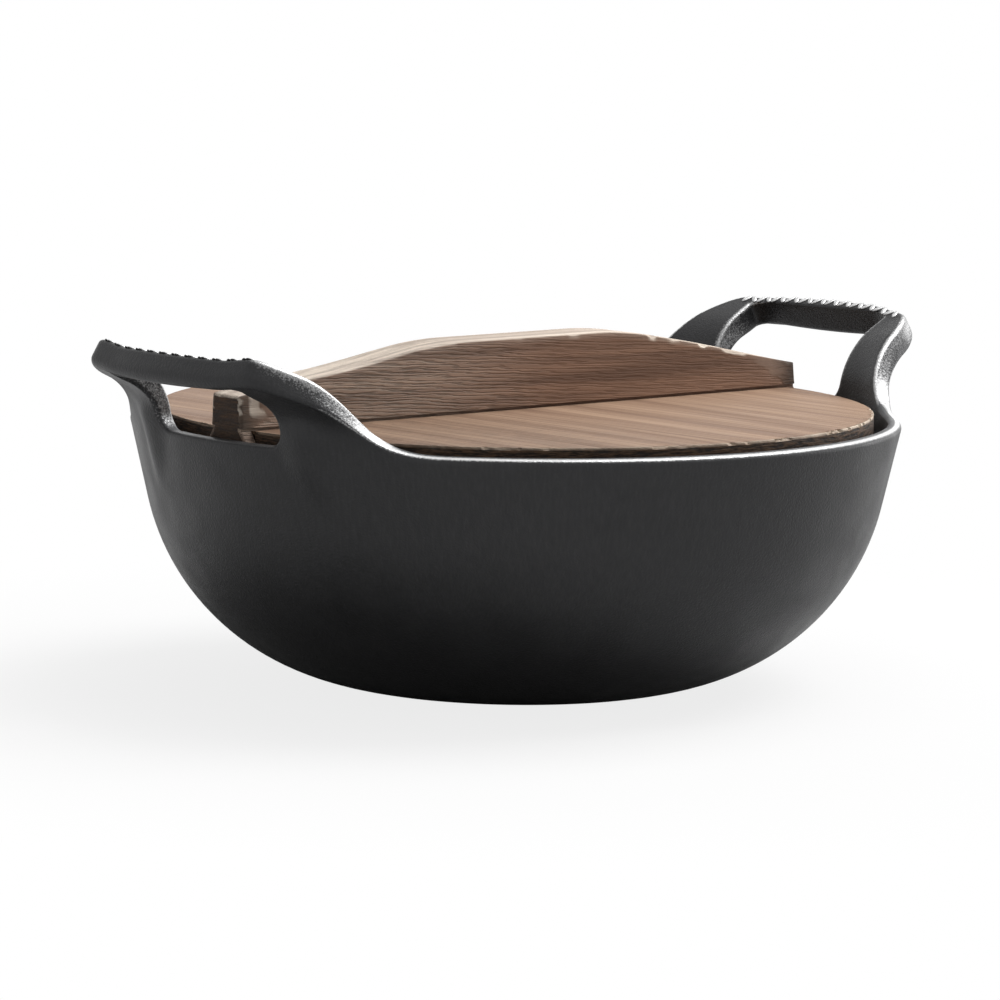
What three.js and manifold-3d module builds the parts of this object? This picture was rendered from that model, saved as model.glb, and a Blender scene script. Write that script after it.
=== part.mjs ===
// Cast iron sukiyaki pot with a drop-in wooden lid.
// Millimetres, +Z up. The origin is the centre of the base and the two handles lie along X.
import * as THREE from "three";
import { mergeVertices } from "three/addons/utils/BufferGeometryUtils.js";
import Module from "manifold-3d";

const wasm = await Module();
wasm.setup();

// Bowl: flat base, round corner and a straight wall that leans outwards up to the rim
const BASE_RADIUS = 47.4;
const CORNER_RADIUS = 83;
const WALL_ANGLE = 77.2; // degrees above the horizontal
const WALL = 5;
const RIM_HEIGHT = 94;
const EDGE_ROUND = 0.7; // radius of a cast edge, as a share of half the thickness there

// Ledge cast inside the rim, which carries the lid
const SEAT_DEPTH = 8.4; // rim to ledge
const LEDGE_REACH = 6.5;
const LEDGE_FACE = 2;
const LEDGE_UNDERSIDE = 45; // degrees

// Ears: the wall runs on above the rim, bends outwards and thickens into a grip
const EAR_STEM = 6.8;
const EAR_BEND_RADIUS = 22;
const EAR_LIP_ANGLE = 28; // degrees above the horizontal
const EAR_LIP = 13;
const EAR_SHOULDER = 18.5; // degrees from the handle axis where the sweep meets the grip
const EAR_FOOT = 40; // degrees from the handle axis where it has run out into the rim
const EAR_SWEEP = 3.2; // power of the sweep: a long foot that grows steep at the shoulder
const EAR_SHOULDER_ROUND = 0.7; // share of the ear's length over which the shoulder is rounded
const EAR_STRAIGHTEN = 0.3; // 0 is a grip curved round the pot, 1 a straight one
const GRIP_THICKNESS = 9.6;
const GRIP_START = -4; // along the ear, where the wall begins to thicken

// Finger opening under each grip
const FINGER_WIDTH = 64; // at the sill
const FINGER_LEAN = 2.5; // how far each side leans outwards up to the roof
const FINGER_HEIGHT = 26.8; // from the rim to the roof, over the middle of the lip
const FINGER_DRAFT = 67; // degrees, the roof rises towards the inside
const FINGER_TOP_ROUND = 9;
const FINGER_BOTTOM_ROUND = 6;
const FINGER_LEAST_SIDE = 1; // straight side between the rounds, at the opening's outer end

// Ribs that carry each ear down onto the wall, one on each side of the opening
const RIB_HEIGHT = 2.2;
const RIB_TOP_ANGLE = 17.5;
const RIB_FOOT_ANGLE = 19.8;
const RIB_TOP_SPREAD = 5; // degrees to each side of the crest
const RIB_FOOT_SPREAD = 2.6;
const RIB_DROP = 24; // below the rim
const RIB_RISE = 14; // above the rim

// Lid board
const LID_THICKNESS = 11;
const LID_PLAY = 5; // all round, between the board and the inside of the rim
const LID_ARRIS = 0.8;
const REST_GAP = 0.3;

// Batten, let into the board as a sliding dovetail
const BATTEN_WIDTH = 17;
const BATTEN_RISE = 25;
const BATTEN_END_RISE = 10.1;
const BATTEN_TAPER = 9.7; // degrees
const BATTEN_CROWN_RADIUS = 150;
const BATTEN_OVERHANG = 3.2; // of each end past the edge of the board
const BATTEN_ROUND_DROP = 2; // rounded long edges: how far they fall
const BATTEN_ROUND_WIDTH = 3.2; // and how far they reach in
const DOVETAIL_DEPTH = 4.5;
const DOVETAIL_FLARE = 2; // to each side
const DOVETAIL_PLAY = 0.3;
const HEWN_BACK_TOP = 20; // how far back from the end a hewn corner starts, at the top
const HEWN_BACK_FOOT = 5;
const HEWN_INSET = 0.7; // how much it takes off the width at the foot of the end

// Fineness of the faceted surfaces
const RING_SPANS = [
  { from: 0, to: 12, steps: 4 },
  { from: 12, to: 26, steps: 12 },
  { from: 26, to: 40, steps: 6 },
  { from: 40, to: 90, steps: 8 },
]; // degrees from the handle axis: closer where the ear sweeps up and the ribs stand
const CORNER_STEPS = 7;
const INNER_CORNER_STEPS = 5;
const OUTER_STEPS = 11;
const INNER_STEPS = 8;
const EDGE_STEPS = 2;
const LID_SIDES = 96;
const CURVE_STEPS = 8;
const BATTEN_ROUND_STEPS = 2;
const WELD = 1e-4; // points nearer than this are one

const radians = THREE.MathUtils.degToRad;
const lerp = THREE.MathUtils.lerp;
const smoothstep = THREE.MathUtils.smoothstep;
const wallAngle = radians(WALL_ANGLE);
const lipAngle = radians(EAR_LIP_ANGLE);

// Middle line of the wall: from the end of the corner arc to the rim, then the ear
const middleRadius = CORNER_RADIUS - WALL / 2;
const wallStart = new THREE.Vector2(
  BASE_RADIUS + middleRadius * Math.sin(wallAngle),
  CORNER_RADIUS - middleRadius * Math.cos(wallAngle),
);
const wallLength = (RIM_HEIGHT - wallStart.y) / Math.sin(wallAngle);
const bendLength = EAR_BEND_RADIUS * (wallAngle - lipAngle);
const earLength = EAR_STEM + bendLength + EAR_LIP;

// Radius of the plain wall's inner face at a height
function innerRadiusAt(height) {
  const middle = wallStart.x + (height - wallStart.y) / Math.tan(wallAngle);
  return middle - WALL / 2 / Math.sin(wallAngle);
}

const seatHeight = RIM_HEIGHT - SEAT_DEPTH;
const lidBottom = seatHeight + REST_GAP;
const lidTop = lidBottom + LID_THICKNESS;
const lidRadius = innerRadiusAt(RIM_HEIGHT) - LID_PLAY;

// Point on the middle line and its direction, at a length measured from the end of the corner arc
function middleLine(length) {
  const straight = Math.min(length, wallLength + EAR_STEM);
  const bend = THREE.MathUtils.clamp(length - wallLength - EAR_STEM, 0, bendLength);
  const lip = Math.max(length - wallLength - EAR_STEM - bendLength, 0);
  const angle = wallAngle - bend / EAR_BEND_RADIUS;
  const point = new THREE.Vector2(
    wallStart.x + straight * Math.cos(wallAngle),
    wallStart.y + straight * Math.sin(wallAngle),
  );
  point.x += EAR_BEND_RADIUS * (Math.sin(wallAngle) - Math.sin(angle));
  point.y += EAR_BEND_RADIUS * (Math.cos(angle) - Math.cos(wallAngle));
  point.x += lip * Math.cos(angle);
  point.y += lip * Math.sin(angle);
  return { point, angle };
}

// Half the thickness of the casting at that length: the wall's, growing to the grip's along the ear
function halfThickness(length) {
  const grown = smoothstep(length - wallLength, GRIP_START, earLength - EAR_LIP / 2);
  return lerp(WALL, GRIP_THICKNESS, grown) / 2;
}

// A point off the middle line, on the outer side where the offset is positive.
// Up the ear it moves outwards with the angle from the handle axis, which straightens the grip.
function offsetPoint(fromHandle, length, offset) {
  const { point, angle } = middleLine(length);
  const straight = 1 / Math.cos(radians(Math.min(fromHandle, EAR_FOOT)));
  const share = EAR_STRAIGHTEN * smoothstep(length - wallLength, 0, earLength);
  return new THREE.Vector2(
    (point.x + offset * Math.sin(angle)) * lerp(1, straight, share),
    point.y - offset * Math.cos(angle),
  );
}

// Smaller of two values, with the corner between them rounded over a given width
function roundedMin(a, b, width) {
  const share = THREE.MathUtils.clamp(0.5 + (b - a) / (2 * width), 0, 1);
  return lerp(b, a, share) - width * share * (1 - share);
}

// How far the ear reaches above the rim at an angle from the handle axis: a power sweep up to the grip
function earReach(fromHandle) {
  const share = Math.max((EAR_FOOT - fromHandle) / (EAR_FOOT - EAR_SHOULDER), 0);
  return earLength * roundedMin(Math.pow(share, EAR_SWEEP), 1, EAR_SHOULDER_ROUND);
}

// Height of the rib above the outer wall: a crest that swells up the wall and dies into the ear
function ribHeight(fromHandle, length) {
  const up = length - wallLength;
  const climb = smoothstep(up, -RIB_DROP, 0);
  const fade = 1 - smoothstep(up, RIB_RISE / 4, RIB_RISE);
  const crest = lerp(RIB_FOOT_ANGLE, RIB_TOP_ANGLE, climb);
  const spread = lerp(RIB_FOOT_SPREAD, RIB_TOP_SPREAD, climb);
  const across = 1 - smoothstep(Math.abs(fromHandle - crest), 0, spread);
  return RIB_HEIGHT * climb * fade * across;
}

// Quarter arc round one corner of the casting's edge
function edgeCorner(fromHandle, length, half, side, round) {
  const points = [];
  for (let step = 0; step <= EDGE_STEPS; step++) {
    const turn = ((side > 0 ? step : EDGE_STEPS - step) / EDGE_STEPS) * (Math.PI / 2);
    const along = length - round + round * Math.sin(turn);
    points.push(offsetPoint(fromHandle, along, side * (half - round + round * Math.cos(turn))));
  }
  return points;
}

// Section of the casting in (radius, height), from the base's outer ring over the rim to the inner ring
function sectionAt(fromHandle) {
  const points = [];
  for (let step = 0; step < CORNER_STEPS; step++) {
    const turn = (step / CORNER_STEPS) * wallAngle;
    points.push(new THREE.Vector2(
      BASE_RADIUS + CORNER_RADIUS * Math.sin(turn),
      CORNER_RADIUS - CORNER_RADIUS * Math.cos(turn),
    ));
  }
  const end = wallLength + earReach(fromHandle);
  const endHalf = halfThickness(end);
  const round = endHalf * EDGE_ROUND;
  for (let step = 0; step < OUTER_STEPS; step++) {
    const length = (step / OUTER_STEPS) * (end - round);
    const offset = halfThickness(length) + ribHeight(fromHandle, length);
    points.push(offsetPoint(fromHandle, length, offset));
  }
  points.push(...edgeCorner(fromHandle, end, endHalf, 1, round));
  points.push(...edgeCorner(fromHandle, end, endHalf, -1, round));
  const ledgeLength = (seatHeight - wallStart.y) / Math.sin(wallAngle);
  for (let step = 1; step < INNER_STEPS; step++) {
    const length = lerp(end - round, ledgeLength, step / INNER_STEPS);
    points.push(offsetPoint(fromHandle, length, -halfThickness(length)));
  }
  const ledgeRadius = innerRadiusAt(seatHeight);
  const lipRadius = ledgeRadius - LEDGE_REACH;
  const lipFoot = seatHeight - LEDGE_FACE;
  const underside = (innerRadiusAt(lipFoot) - lipRadius)
    / (1 / Math.tan(radians(LEDGE_UNDERSIDE)) + 1 / Math.tan(wallAngle));
  points.push(new THREE.Vector2(ledgeRadius, seatHeight));
  points.push(new THREE.Vector2(lipRadius, seatHeight));
  points.push(new THREE.Vector2(lipRadius, lipFoot));
  points.push(new THREE.Vector2(innerRadiusAt(lipFoot - underside), lipFoot - underside));
  const innerCorner = CORNER_RADIUS - WALL;
  for (let step = INNER_CORNER_STEPS; step >= 0; step--) {
    const turn = (step / INNER_CORNER_STEPS) * wallAngle;
    points.push(new THREE.Vector2(
      BASE_RADIUS + innerCorner * Math.sin(turn),
      CORNER_RADIUS - innerCorner * Math.cos(turn),
    ));
  }
  return points;
}

// Angles round one quarter of the pot, from the handle axis up to but not onto the cross axis
function quarterAngles() {
  const angles = [];
  for (const { from, to, steps } of RING_SPANS) {
    for (let step = 0; step < steps; step++) {
      angles.push(lerp(from, to, step / steps));
    }
  }
  return angles;
}

// Angles round the whole pot, each with its angle from the nearer handle
function ringAngles() {
  const quarter = quarterAngles();
  const back = [90, ...quarter.slice(1).reverse()];
  const half = [
    ...quarter.map((angle) => ({ turn: angle, fromHandle: angle })),
    ...back.map((angle) => ({ turn: 180 - angle, fromHandle: angle })),
  ];
  return [...half, ...half.map(({ turn, fromHandle }) => ({ turn: turn + 180, fromHandle }))];
}

// Loft of the sections round the axis, closed at both poles
function castingGeometry() {
  const ring = ringAngles();
  const sections = ring.map(({ fromHandle }) => sectionAt(fromHandle));
  const rows = sections[0].length;
  const positions = [0, 0, 0, 0, 0, WALL];
  ring.forEach(({ turn }, column) => {
    for (const point of sections[column]) {
      positions.push(point.x * Math.cos(radians(turn)), point.x * Math.sin(radians(turn)), point.y);
    }
  });
  const vertex = (column, row) => 2 + (column % ring.length) * rows + row;
  const faces = [];
  for (let column = 0; column < ring.length; column++) {
    faces.push(0, vertex(column + 1, 0), vertex(column, 0));
    for (let row = 0; row < rows - 1; row++) {
      const a = vertex(column, row);
      const b = vertex(column + 1, row);
      const c = vertex(column + 1, row + 1);
      const d = vertex(column, row + 1);
      faces.push(a, b, c, a, c, d);
    }
    faces.push(1, vertex(column, rows - 1), vertex(column + 1, rows - 1));
  }
  const geometry = new THREE.BufferGeometry();
  geometry.setAttribute("position", new THREE.Float32BufferAttribute(positions, 3));
  geometry.setIndex(faces);
  return geometry;
}

// Lays a shape drawn in (across, up) out across Y and up Z, with its depth along X
const alongX = new THREE.Matrix4().makeBasis(
  new THREE.Vector3(0, 1, 0),
  new THREE.Vector3(0, 0, 1),
  new THREE.Vector3(1, 0, 0),
);

// Outline of a finger opening, upright on its sill, with its own rounds at the top and the bottom
function fingerOutline() {
  const half = FINGER_WIDTH / 2;
  const low = FINGER_BOTTOM_ROUND;
  const high = FINGER_TOP_ROUND;
  const top = FINGER_HEIGHT;
  const outline = new THREE.Shape();
  outline.moveTo(-half + low, 0);
  outline.absarc(half - low, low, low, -Math.PI / 2, 0, false);
  outline.absarc(half - high, top - high, high, 0, Math.PI / 2, false);
  outline.absarc(-half + high, top - high, high, Math.PI / 2, Math.PI, false);
  outline.absarc(-half + low, low, low, Math.PI, 1.5 * Math.PI, false);
  return outline;
}

// Core of a finger opening on the +X side, through the whole ear, with a roof that rises inwards
function fingerCore() {
  const steepness = Math.tan(radians(FINGER_DRAFT));
  const lipMiddle = middleLine(wallLength + earLength - EAR_LIP / 2).point.x;
  const side = FINGER_HEIGHT - FINGER_TOP_ROUND - FINGER_BOTTOM_ROUND;
  const start = innerRadiusAt(RIM_HEIGHT) - LID_PLAY;
  const end = lipMiddle + (side - FINGER_LEAST_SIDE) / steepness;
  const geometry = new THREE.ExtrudeGeometry(fingerOutline(), {
    depth: end - start,
    bevelEnabled: false,
    curveSegments: CURVE_STEPS,
  });
  geometry.applyMatrix4(alongX).translate(start, 0, 0);
  const place = geometry.getAttribute("position");
  for (let i = 0; i < place.count; i++) {
    const [x, y, z] = [place.getX(i), place.getY(i), place.getZ(i)];
    const rise = z > FINGER_BOTTOM_ROUND + side / 2 ? (lipMiddle - x) * steepness : 0;
    const lean = FINGER_LEAN * ((z + rise) / FINGER_HEIGHT);
    place.setXYZ(i, x, y + Math.sign(y) * lean, z + rise);
  }
  return geometry.translate(0, 0, RIM_HEIGHT);
}

function solidFrom(geometry) {
  const bare = geometry.clone();
  bare.deleteAttribute("normal");
  bare.deleteAttribute("uv");
  const merged = mergeVertices(bare, WELD);
  return new wasm.Manifold(new wasm.Mesh({
    numProp: 3,
    vertProperties: merged.getAttribute("position").array,
    triVerts: new Uint32Array(merged.index.array),
  }));
}

function geometryFrom(solid) {
  const mesh = solid.getMesh();
  const geometry = new THREE.BufferGeometry();
  geometry.setAttribute("position", new THREE.BufferAttribute(new Float32Array(mesh.vertProperties), 3));
  geometry.setIndex([...mesh.triVerts]);
  geometry.computeVertexNormals();
  return geometry;
}

function makePot() {
  let solid = solidFrom(castingGeometry());
  for (const turn of [0, Math.PI]) {
    solid = solid.subtract(solidFrom(fingerCore().rotateZ(turn)));
  }
  return geometryFrom(solid);
}

// Section of the dovetail, looking along the batten: narrow at the board's top face, wide below it.
// The neck runs on up into the batten so that the two join.
function dovetailSection(play, neckRise) {
  const neck = BATTEN_WIDTH / 2 + play;
  const foot = neck + DOVETAIL_FLARE;
  const section = new THREE.Shape();
  section.moveTo(-foot, -DOVETAIL_DEPTH - play);
  section.lineTo(foot, -DOVETAIL_DEPTH - play);
  section.lineTo(neck, 0);
  section.lineTo(neck, neckRise);
  section.lineTo(-neck, neckRise);
  section.lineTo(-neck, 0);
  return section;
}

// Dovetail bar along X, centred, with its neck at the height of the board's top face
function dovetailBar(play, neckRise, length) {
  const geometry = new THREE.ExtrudeGeometry(dovetailSection(play, neckRise), {
    depth: length,
    bevelEnabled: false,
  });
  return geometry.applyMatrix4(alongX).translate(-length / 2, 0, 0);
}

// Turned disc with a broken arris, its top face at height 0
function boardDisc() {
  const profile = [
    new THREE.Vector2(0, -LID_THICKNESS),
    new THREE.Vector2(lidRadius - LID_ARRIS, -LID_THICKNESS),
    new THREE.Vector2(lidRadius, -LID_THICKNESS + LID_ARRIS),
    new THREE.Vector2(lidRadius, -LID_ARRIS),
    new THREE.Vector2(lidRadius - LID_ARRIS, 0),
    new THREE.Vector2(0, 0),
  ];
  return new THREE.LatheGeometry(profile, LID_SIDES).rotateX(Math.PI / 2);
}

function makeLidBoard() {
  const groove = dovetailBar(DOVETAIL_PLAY, LID_THICKNESS, 2 * lidRadius + LID_THICKNESS);
  return geometryFrom(solidFrom(boardDisc()).subtract(solidFrom(groove)));
}

const battenHalf = lidRadius + BATTEN_OVERHANG;

// Side outline of the batten: level crown, round shoulders and straight tapers to thin ends
function battenOutline() {
  const taper = radians(BATTEN_TAPER);
  const shoulder = battenHalf - (BATTEN_RISE - BATTEN_END_RISE) / Math.tan(taper);
  const crown = Math.max(shoulder - BATTEN_CROWN_RADIUS * Math.tan(taper / 2), WELD);
  const centre = BATTEN_RISE - BATTEN_CROWN_RADIUS;
  const up = Math.PI / 2;
  const outline = new THREE.Shape();
  outline.moveTo(-battenHalf, 0);
  outline.lineTo(battenHalf, 0);
  outline.lineTo(battenHalf, BATTEN_END_RISE);
  outline.absarc(crown, centre, BATTEN_CROWN_RADIUS, up - taper, up, false);
  outline.absarc(-crown, centre, BATTEN_CROWN_RADIUS, up, up + taper, false);
  outline.lineTo(-battenHalf, BATTEN_END_RISE);
  return outline;
}

// Block that takes off one hewn corner of an end: its working face passes through three points
function hewnBlock(end, side) {
  const half = BATTEN_WIDTH / 2;
  const high = new THREE.Vector3(end * (battenHalf - HEWN_BACK_TOP), side * half, BATTEN_END_RISE);
  const low = new THREE.Vector3(end * (battenHalf - HEWN_BACK_FOOT), side * half, 0);
  const tip = new THREE.Vector3(end * battenHalf, side * (half - HEWN_INSET), 0);
  const upright = high.clone().sub(low).normalize();
  const away = tip.clone().sub(low).cross(upright).normalize();
  if (away.y * side < 0) away.negate();
  const run = new THREE.Vector3().crossVectors(upright, away);
  const size = 4 * BATTEN_RISE;
  const block = new THREE.BoxGeometry(size, size, size).translate(0, 0, size / 2);
  const axes = new THREE.Matrix4().makeBasis(run, upright, away).setPosition(low);
  return block.applyMatrix4(axes);
}

function makeLidBatten() {
  const bar = new THREE.ExtrudeGeometry(battenOutline(), {
    depth: BATTEN_WIDTH - 2 * BATTEN_ROUND_WIDTH,
    bevelThickness: BATTEN_ROUND_WIDTH,
    bevelSize: BATTEN_ROUND_DROP,
    bevelOffset: -BATTEN_ROUND_DROP,
    bevelSegments: BATTEN_ROUND_STEPS,
    curveSegments: CURVE_STEPS,
  });
  bar.rotateX(Math.PI / 2).translate(0, BATTEN_WIDTH / 2 - BATTEN_ROUND_WIDTH, 0);
  let solid = solidFrom(bar).add(solidFrom(dovetailBar(0, BATTEN_END_RISE / 2, 2 * battenHalf)));
  for (const end of [1, -1]) {
    for (const side of [1, -1]) {
      solid = solid.subtract(solidFrom(hewnBlock(end, side)));
    }
  }
  return geometryFrom(solid);
}

const castIron = new THREE.MeshStandardMaterial({ color: 0x333333, roughness: 0.6, metalness: 0.85 });
const burntCedar = new THREE.MeshStandardMaterial({ color: 0xa08470, roughness: 0.75, metalness: 0 });
const hewnCedar = new THREE.MeshStandardMaterial({ color: 0x8a6c58, roughness: 0.7, metalness: 0 });

const pot = new THREE.Mesh(makePot(), castIron);
pot.name = "pot";

const lid = new THREE.Group();
lid.name = "lid";
lid.position.z = lidTop;

const lidBoard = new THREE.Mesh(makeLidBoard(), burntCedar);
lidBoard.name = "lid_board";
lid.add(lidBoard);

const lidBatten = new THREE.Mesh(makeLidBatten(), hewnCedar);
lidBatten.name = "lid_batten";
lid.add(lidBatten);

const sukiyakiPot = new THREE.Group();
sukiyakiPot.name = "sukiyaki_pot";
sukiyakiPot.add(pot, lid);

export default sukiyakiPot;
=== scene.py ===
"""Looks of a cast iron sukiyaki pot with a drop-in wooden lid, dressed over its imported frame.

Shapes are worked out in millimetres and degrees, and become metres when a mesh is made.
+Z is up, both handles and the lid's batten lie along X, and the origin is the centre of the base.
"""

import logging
import math
from dataclasses import dataclass, field
from enum import Enum, IntEnum
from functools import partial
from typing import Any, ClassVar

import bmesh
import bpy
import numpy as np
from mathutils import Matrix, Vector


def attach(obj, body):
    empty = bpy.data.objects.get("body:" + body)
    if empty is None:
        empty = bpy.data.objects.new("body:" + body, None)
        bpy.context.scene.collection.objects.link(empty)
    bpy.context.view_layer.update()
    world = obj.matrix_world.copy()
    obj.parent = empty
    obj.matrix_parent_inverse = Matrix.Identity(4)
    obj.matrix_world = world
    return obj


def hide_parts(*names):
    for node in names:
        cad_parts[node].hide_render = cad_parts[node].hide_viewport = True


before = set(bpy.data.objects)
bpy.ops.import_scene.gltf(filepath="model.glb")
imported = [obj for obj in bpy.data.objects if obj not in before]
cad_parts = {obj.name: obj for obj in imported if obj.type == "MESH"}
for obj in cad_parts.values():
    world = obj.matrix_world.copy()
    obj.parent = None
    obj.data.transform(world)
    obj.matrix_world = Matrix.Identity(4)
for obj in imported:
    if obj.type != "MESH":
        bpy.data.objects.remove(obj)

log = logging.getLogger("sukiyaki_pot")
Array = np.ndarray

MM = 0.001
QUARTER = math.pi / 2
WELD_MM = 0.004  # points nearer than this are one
# The sawn mark carries the sawn faces' dark colour, which holds painted shade, and a patch of
# painted shade on the board's top.
WOOD_MARKS = ("sawn", "torn", "brushed")

# Inputs of a Noise Texture and of a Map Range node, in the order that tables give them in.
NOISE = ("Scale", "Detail", "Roughness")
RANGE = ("From Min", "From Max", "To Min", "To Max")

# Inputs of a Mix node by number, and the number of its colour output.
SHARE, FLOAT_A, FLOAT_B, COLOUR_A, COLOUR_B = 0, 2, 3, 6, 7
MIXED_COLOUR = 2

# Odd multipliers that scatter the corners of a noise's lattice.
HASH_AXES = np.array([374761393, 668265263, 2246822519], dtype=np.uint32)
HASH_MIX = np.uint32(1274126177)
HASH_SEED = 97


class Body(Enum):
    """Bodies of the frame that pieces ride on."""

    POT = "pot"
    LID = "lid"


class Slot(Enum):
    """Material slots of the record."""

    IRON = "iron"
    LID_WOOD = "lid_wood"
    BATTEN_WOOD = "batten_wood"


class Grain(Enum):
    """Axis that the fibres of a piece of wood run along."""

    ALONG_X = 0
    ALONG_Y = 1


class Handle(IntEnum):
    """The two handles, by the sign of their X."""

    RIGHT = 1
    LEFT = -1


class Face(IntEnum):
    """The two faces of the casting's wall, by the sign of their offset from its middle."""

    OUTER = 1
    INNER = -1


class Seed(IntEnum):
    """Noises of the wood's wear, each with its own seed."""

    CHIPS = 11
    CHIP_PATCHES = 4
    SPLINTERS = 5
    DENTS = 21
    TEARS = 8
    SPLITS = 33


def to_linear(code: str) -> tuple[float, float, float, float]:
    """Turns an sRGB hex colour into linear RGBA.

    Args:
        code: Colour such as "#2b2b2c".

    Returns:
        Linear red, green, blue and full alpha.
    """
    srgb = np.array([int(code[i : i + 2], 16) for i in (1, 3, 5)]) / 255
    linear = np.where(srgb <= 0.04045, srgb / 12.92, ((srgb + 0.055) / 1.055) ** 2.4)
    return (*linear.tolist(), 1.0)


def per_metre(size_mm: float) -> float:
    """Texture scale that gives features of a size in millimetres on Object coordinates."""
    return 1 / (size_mm * MM)


def smoothstep(value: Array, low: float, high: float) -> Array:
    """Rises from 0 at low to 1 at high, level at both ends: 3t^2 - 2t^3."""
    share = np.clip((value - low) / (high - low), 0, 1)
    return share * share * (3 - 2 * share)


def blend(first: Array, last: Array, share: Array) -> Array:
    """Straight line between two values: the first at share 0, the last at 1."""
    return first + (last - first) * share


def bell(value: Array, middle: Array, width: Array) -> Array:
    """Bell curve: 1 at its middle and 1/e one width away from it."""
    return np.exp(-(((value - middle) / width) ** 2))


def rounded_min(first: Array, second: Array, width: float) -> Array:
    """Smaller of two values, with the corner between them rounded over a width."""
    share = np.clip(0.5 + (second - first) / (2 * width), 0, 1)
    return blend(second, first, share) - width * share * (1 - share)


def spans(*pieces: tuple[float, float, int]) -> Array:
    """Evenly spaced values over pieces of start, end and steps, each without its last value."""
    return np.concatenate([np.linspace(a, b, n, endpoint=False) for a, b, n in pieces])


def closed(loop: Array, axis: int = -1) -> Array:
    """Repeats the first entry of a loop at its end."""
    return np.concatenate([loop, np.take(loop, [0], axis)], axis)


def along(line: Array, lengths: Array) -> Array:
    """Points at given lengths along a polyline.

    Args:
        line: Points of the polyline, one per row.
        lengths: Distances from its first point.

    Returns:
        One row per length.
    """
    steps = np.linalg.norm(np.diff(line, axis=0), axis=1)
    reached = np.concatenate(([0.0], np.cumsum(steps)))
    return np.stack([np.interp(lengths, reached, column) for column in line.T], axis=-1)


def lattice_noise(points: Array, cell: float, seed: Seed) -> Array:
    """Smooth noise from -1 to 1.

    A hashed value sits at each corner of a cubic lattice, and a point takes the smoothstep
    blend of the eight corners round it.

    Args:
        points: Places in millimetres, the last axis being x, y, z.
        cell: Size of a lattice cell in millimetres.
        seed: Picks one of many such noises.

    Returns:
        One value per point.
    """
    scaled = points / cell
    low = np.floor(scaled).astype(np.int64)
    share = smoothstep(scaled - low, 0, 1)
    total = np.zeros(points.shape[:-1])
    for corner in np.ndindex(2, 2, 2):
        cells = (low + np.array(corner)).astype(np.uint32)
        mixed = (cells * HASH_AXES).sum(axis=-1, dtype=np.uint32) + np.uint32(seed * HASH_SEED)
        mixed = (mixed ^ (mixed >> np.uint32(13))) * HASH_MIX
        value = (mixed ^ (mixed >> np.uint32(16))) / 2.0**31 - 1
        total += value * np.prod(np.where(corner, share, 1 - share), axis=-1)
    return total


def revolve(turn: Array, radius: Array, height: Array) -> Array:
    """Points at a turn in degrees about Z, a radius and a height, as x, y, z."""
    turn, radius, height = np.broadcast_arrays(np.radians(turn), radius, height)
    return np.stack([radius * np.cos(turn), radius * np.sin(turn), height], axis=-1)


def round_corner(first: Array, corner: Array, last: Array, steps: int) -> Array:
    """Rounds a corner by a rational quadratic curve, a circle where the corner is square.

    Args:
        first: Points where the round leaves one face.
        corner: Points of the sharp corner.
        last: Points where the round meets the other face.
        steps: Number of steps across the round.

    Returns:
        Grid with one row per step.
    """
    share = np.linspace(0, 1, steps + 1)[:, None, None]
    pull = 2 * share * (1 - share) * math.sqrt(0.5)
    near, far = (1 - share) ** 2, share**2
    return (near * first + pull * corner + far * last) / (near + pull + far)


@dataclass
class Patchwork:
    """Grids of points that are sewn into one mesh.

    Each grid may carry marks, values per point such as wear, which the finish reads as attributes.
    """

    mark_names: tuple[str, ...]
    points: list[Array] = field(default_factory=list)
    faces: list[Array] = field(default_factory=list)
    marks: dict[str, list[Array]] = field(default_factory=dict)
    count: int = 0
    cap_columns: tuple[float, ...] = (0.0, 0.05, 0.5, 0.95, 1.0)  # close to the outline and between

    def add(self, grid: Array, **marks: Array | float) -> None:
        """Adds a grid of points, each four neighbours making one face.

        Args:
            grid: Rows by columns by x, y, z, in millimetres.
            marks: Values per point; a mark that isn't given is 0.
        """
        rows, columns = grid.shape[:2]
        index = self.count + np.arange(rows * columns).reshape(rows, columns)
        quads = [index[:-1, :-1], index[1:, :-1], index[1:, 1:], index[:-1, 1:]]
        self.points.append(grid.reshape(-1, 3))
        self.faces.append(np.stack(quads, axis=-1).reshape(-1, 4))
        for name in self.mark_names:
            values = np.broadcast_to(marks.get(name, 0.0), (rows, columns))
            self.marks.setdefault(name, []).append(values.reshape(-1))
        self.count += rows * columns

    def cap_ends(self, halves: list[Array], **marks: float) -> None:
        """Closes both ends of a piece by straight lines across its section.

        The columns next to the outline lie close to it, so that marks change sharply there.

        Args:
            halves: Grids of both halves of the piece, whose end columns are its ends' outlines.
            marks: Values of the ends' marks.
        """
        share = np.array(self.cap_columns)[:, None]
        for end in (0, -1):
            first, last = (half[:, None, end] for half in halves)
            self.add(blend(first, last, share), **marks)

    def sew(self, name: str, sharp_angle: float) -> bpy.types.Object:
        """Merges the grids' seams into one closed, smooth shaded mesh.

        Args:
            name: Name of the piece.
            sharp_angle: Edges that turn more than this many degrees stay sharp.

        Returns:
            The new object, at the origin.
        """
        mesh = bpy.data.meshes.new(name)
        points = np.concatenate(self.points) * MM
        mesh.from_pydata(points.tolist(), [], np.concatenate(self.faces).tolist())
        for mark, values in self.marks.items():
            attribute = mesh.attributes.new(mark, "FLOAT", "POINT")
            attribute.data.foreach_set("value", np.concatenate(values).astype(np.float32))
        sewn = bmesh.new()
        sewn.from_mesh(mesh)
        bmesh.ops.remove_doubles(sewn, verts=sewn.verts, dist=WELD_MM * MM)
        bmesh.ops.recalc_face_normals(sewn, faces=sewn.faces)
        sewn.to_mesh(mesh)
        sewn.free()
        mesh.shade_smooth()
        mesh.set_sharp_from_angle(angle=math.radians(sharp_angle))
        piece = bpy.data.objects.new(name, mesh)
        bpy.context.scene.collection.objects.link(piece)
        return piece


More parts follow.
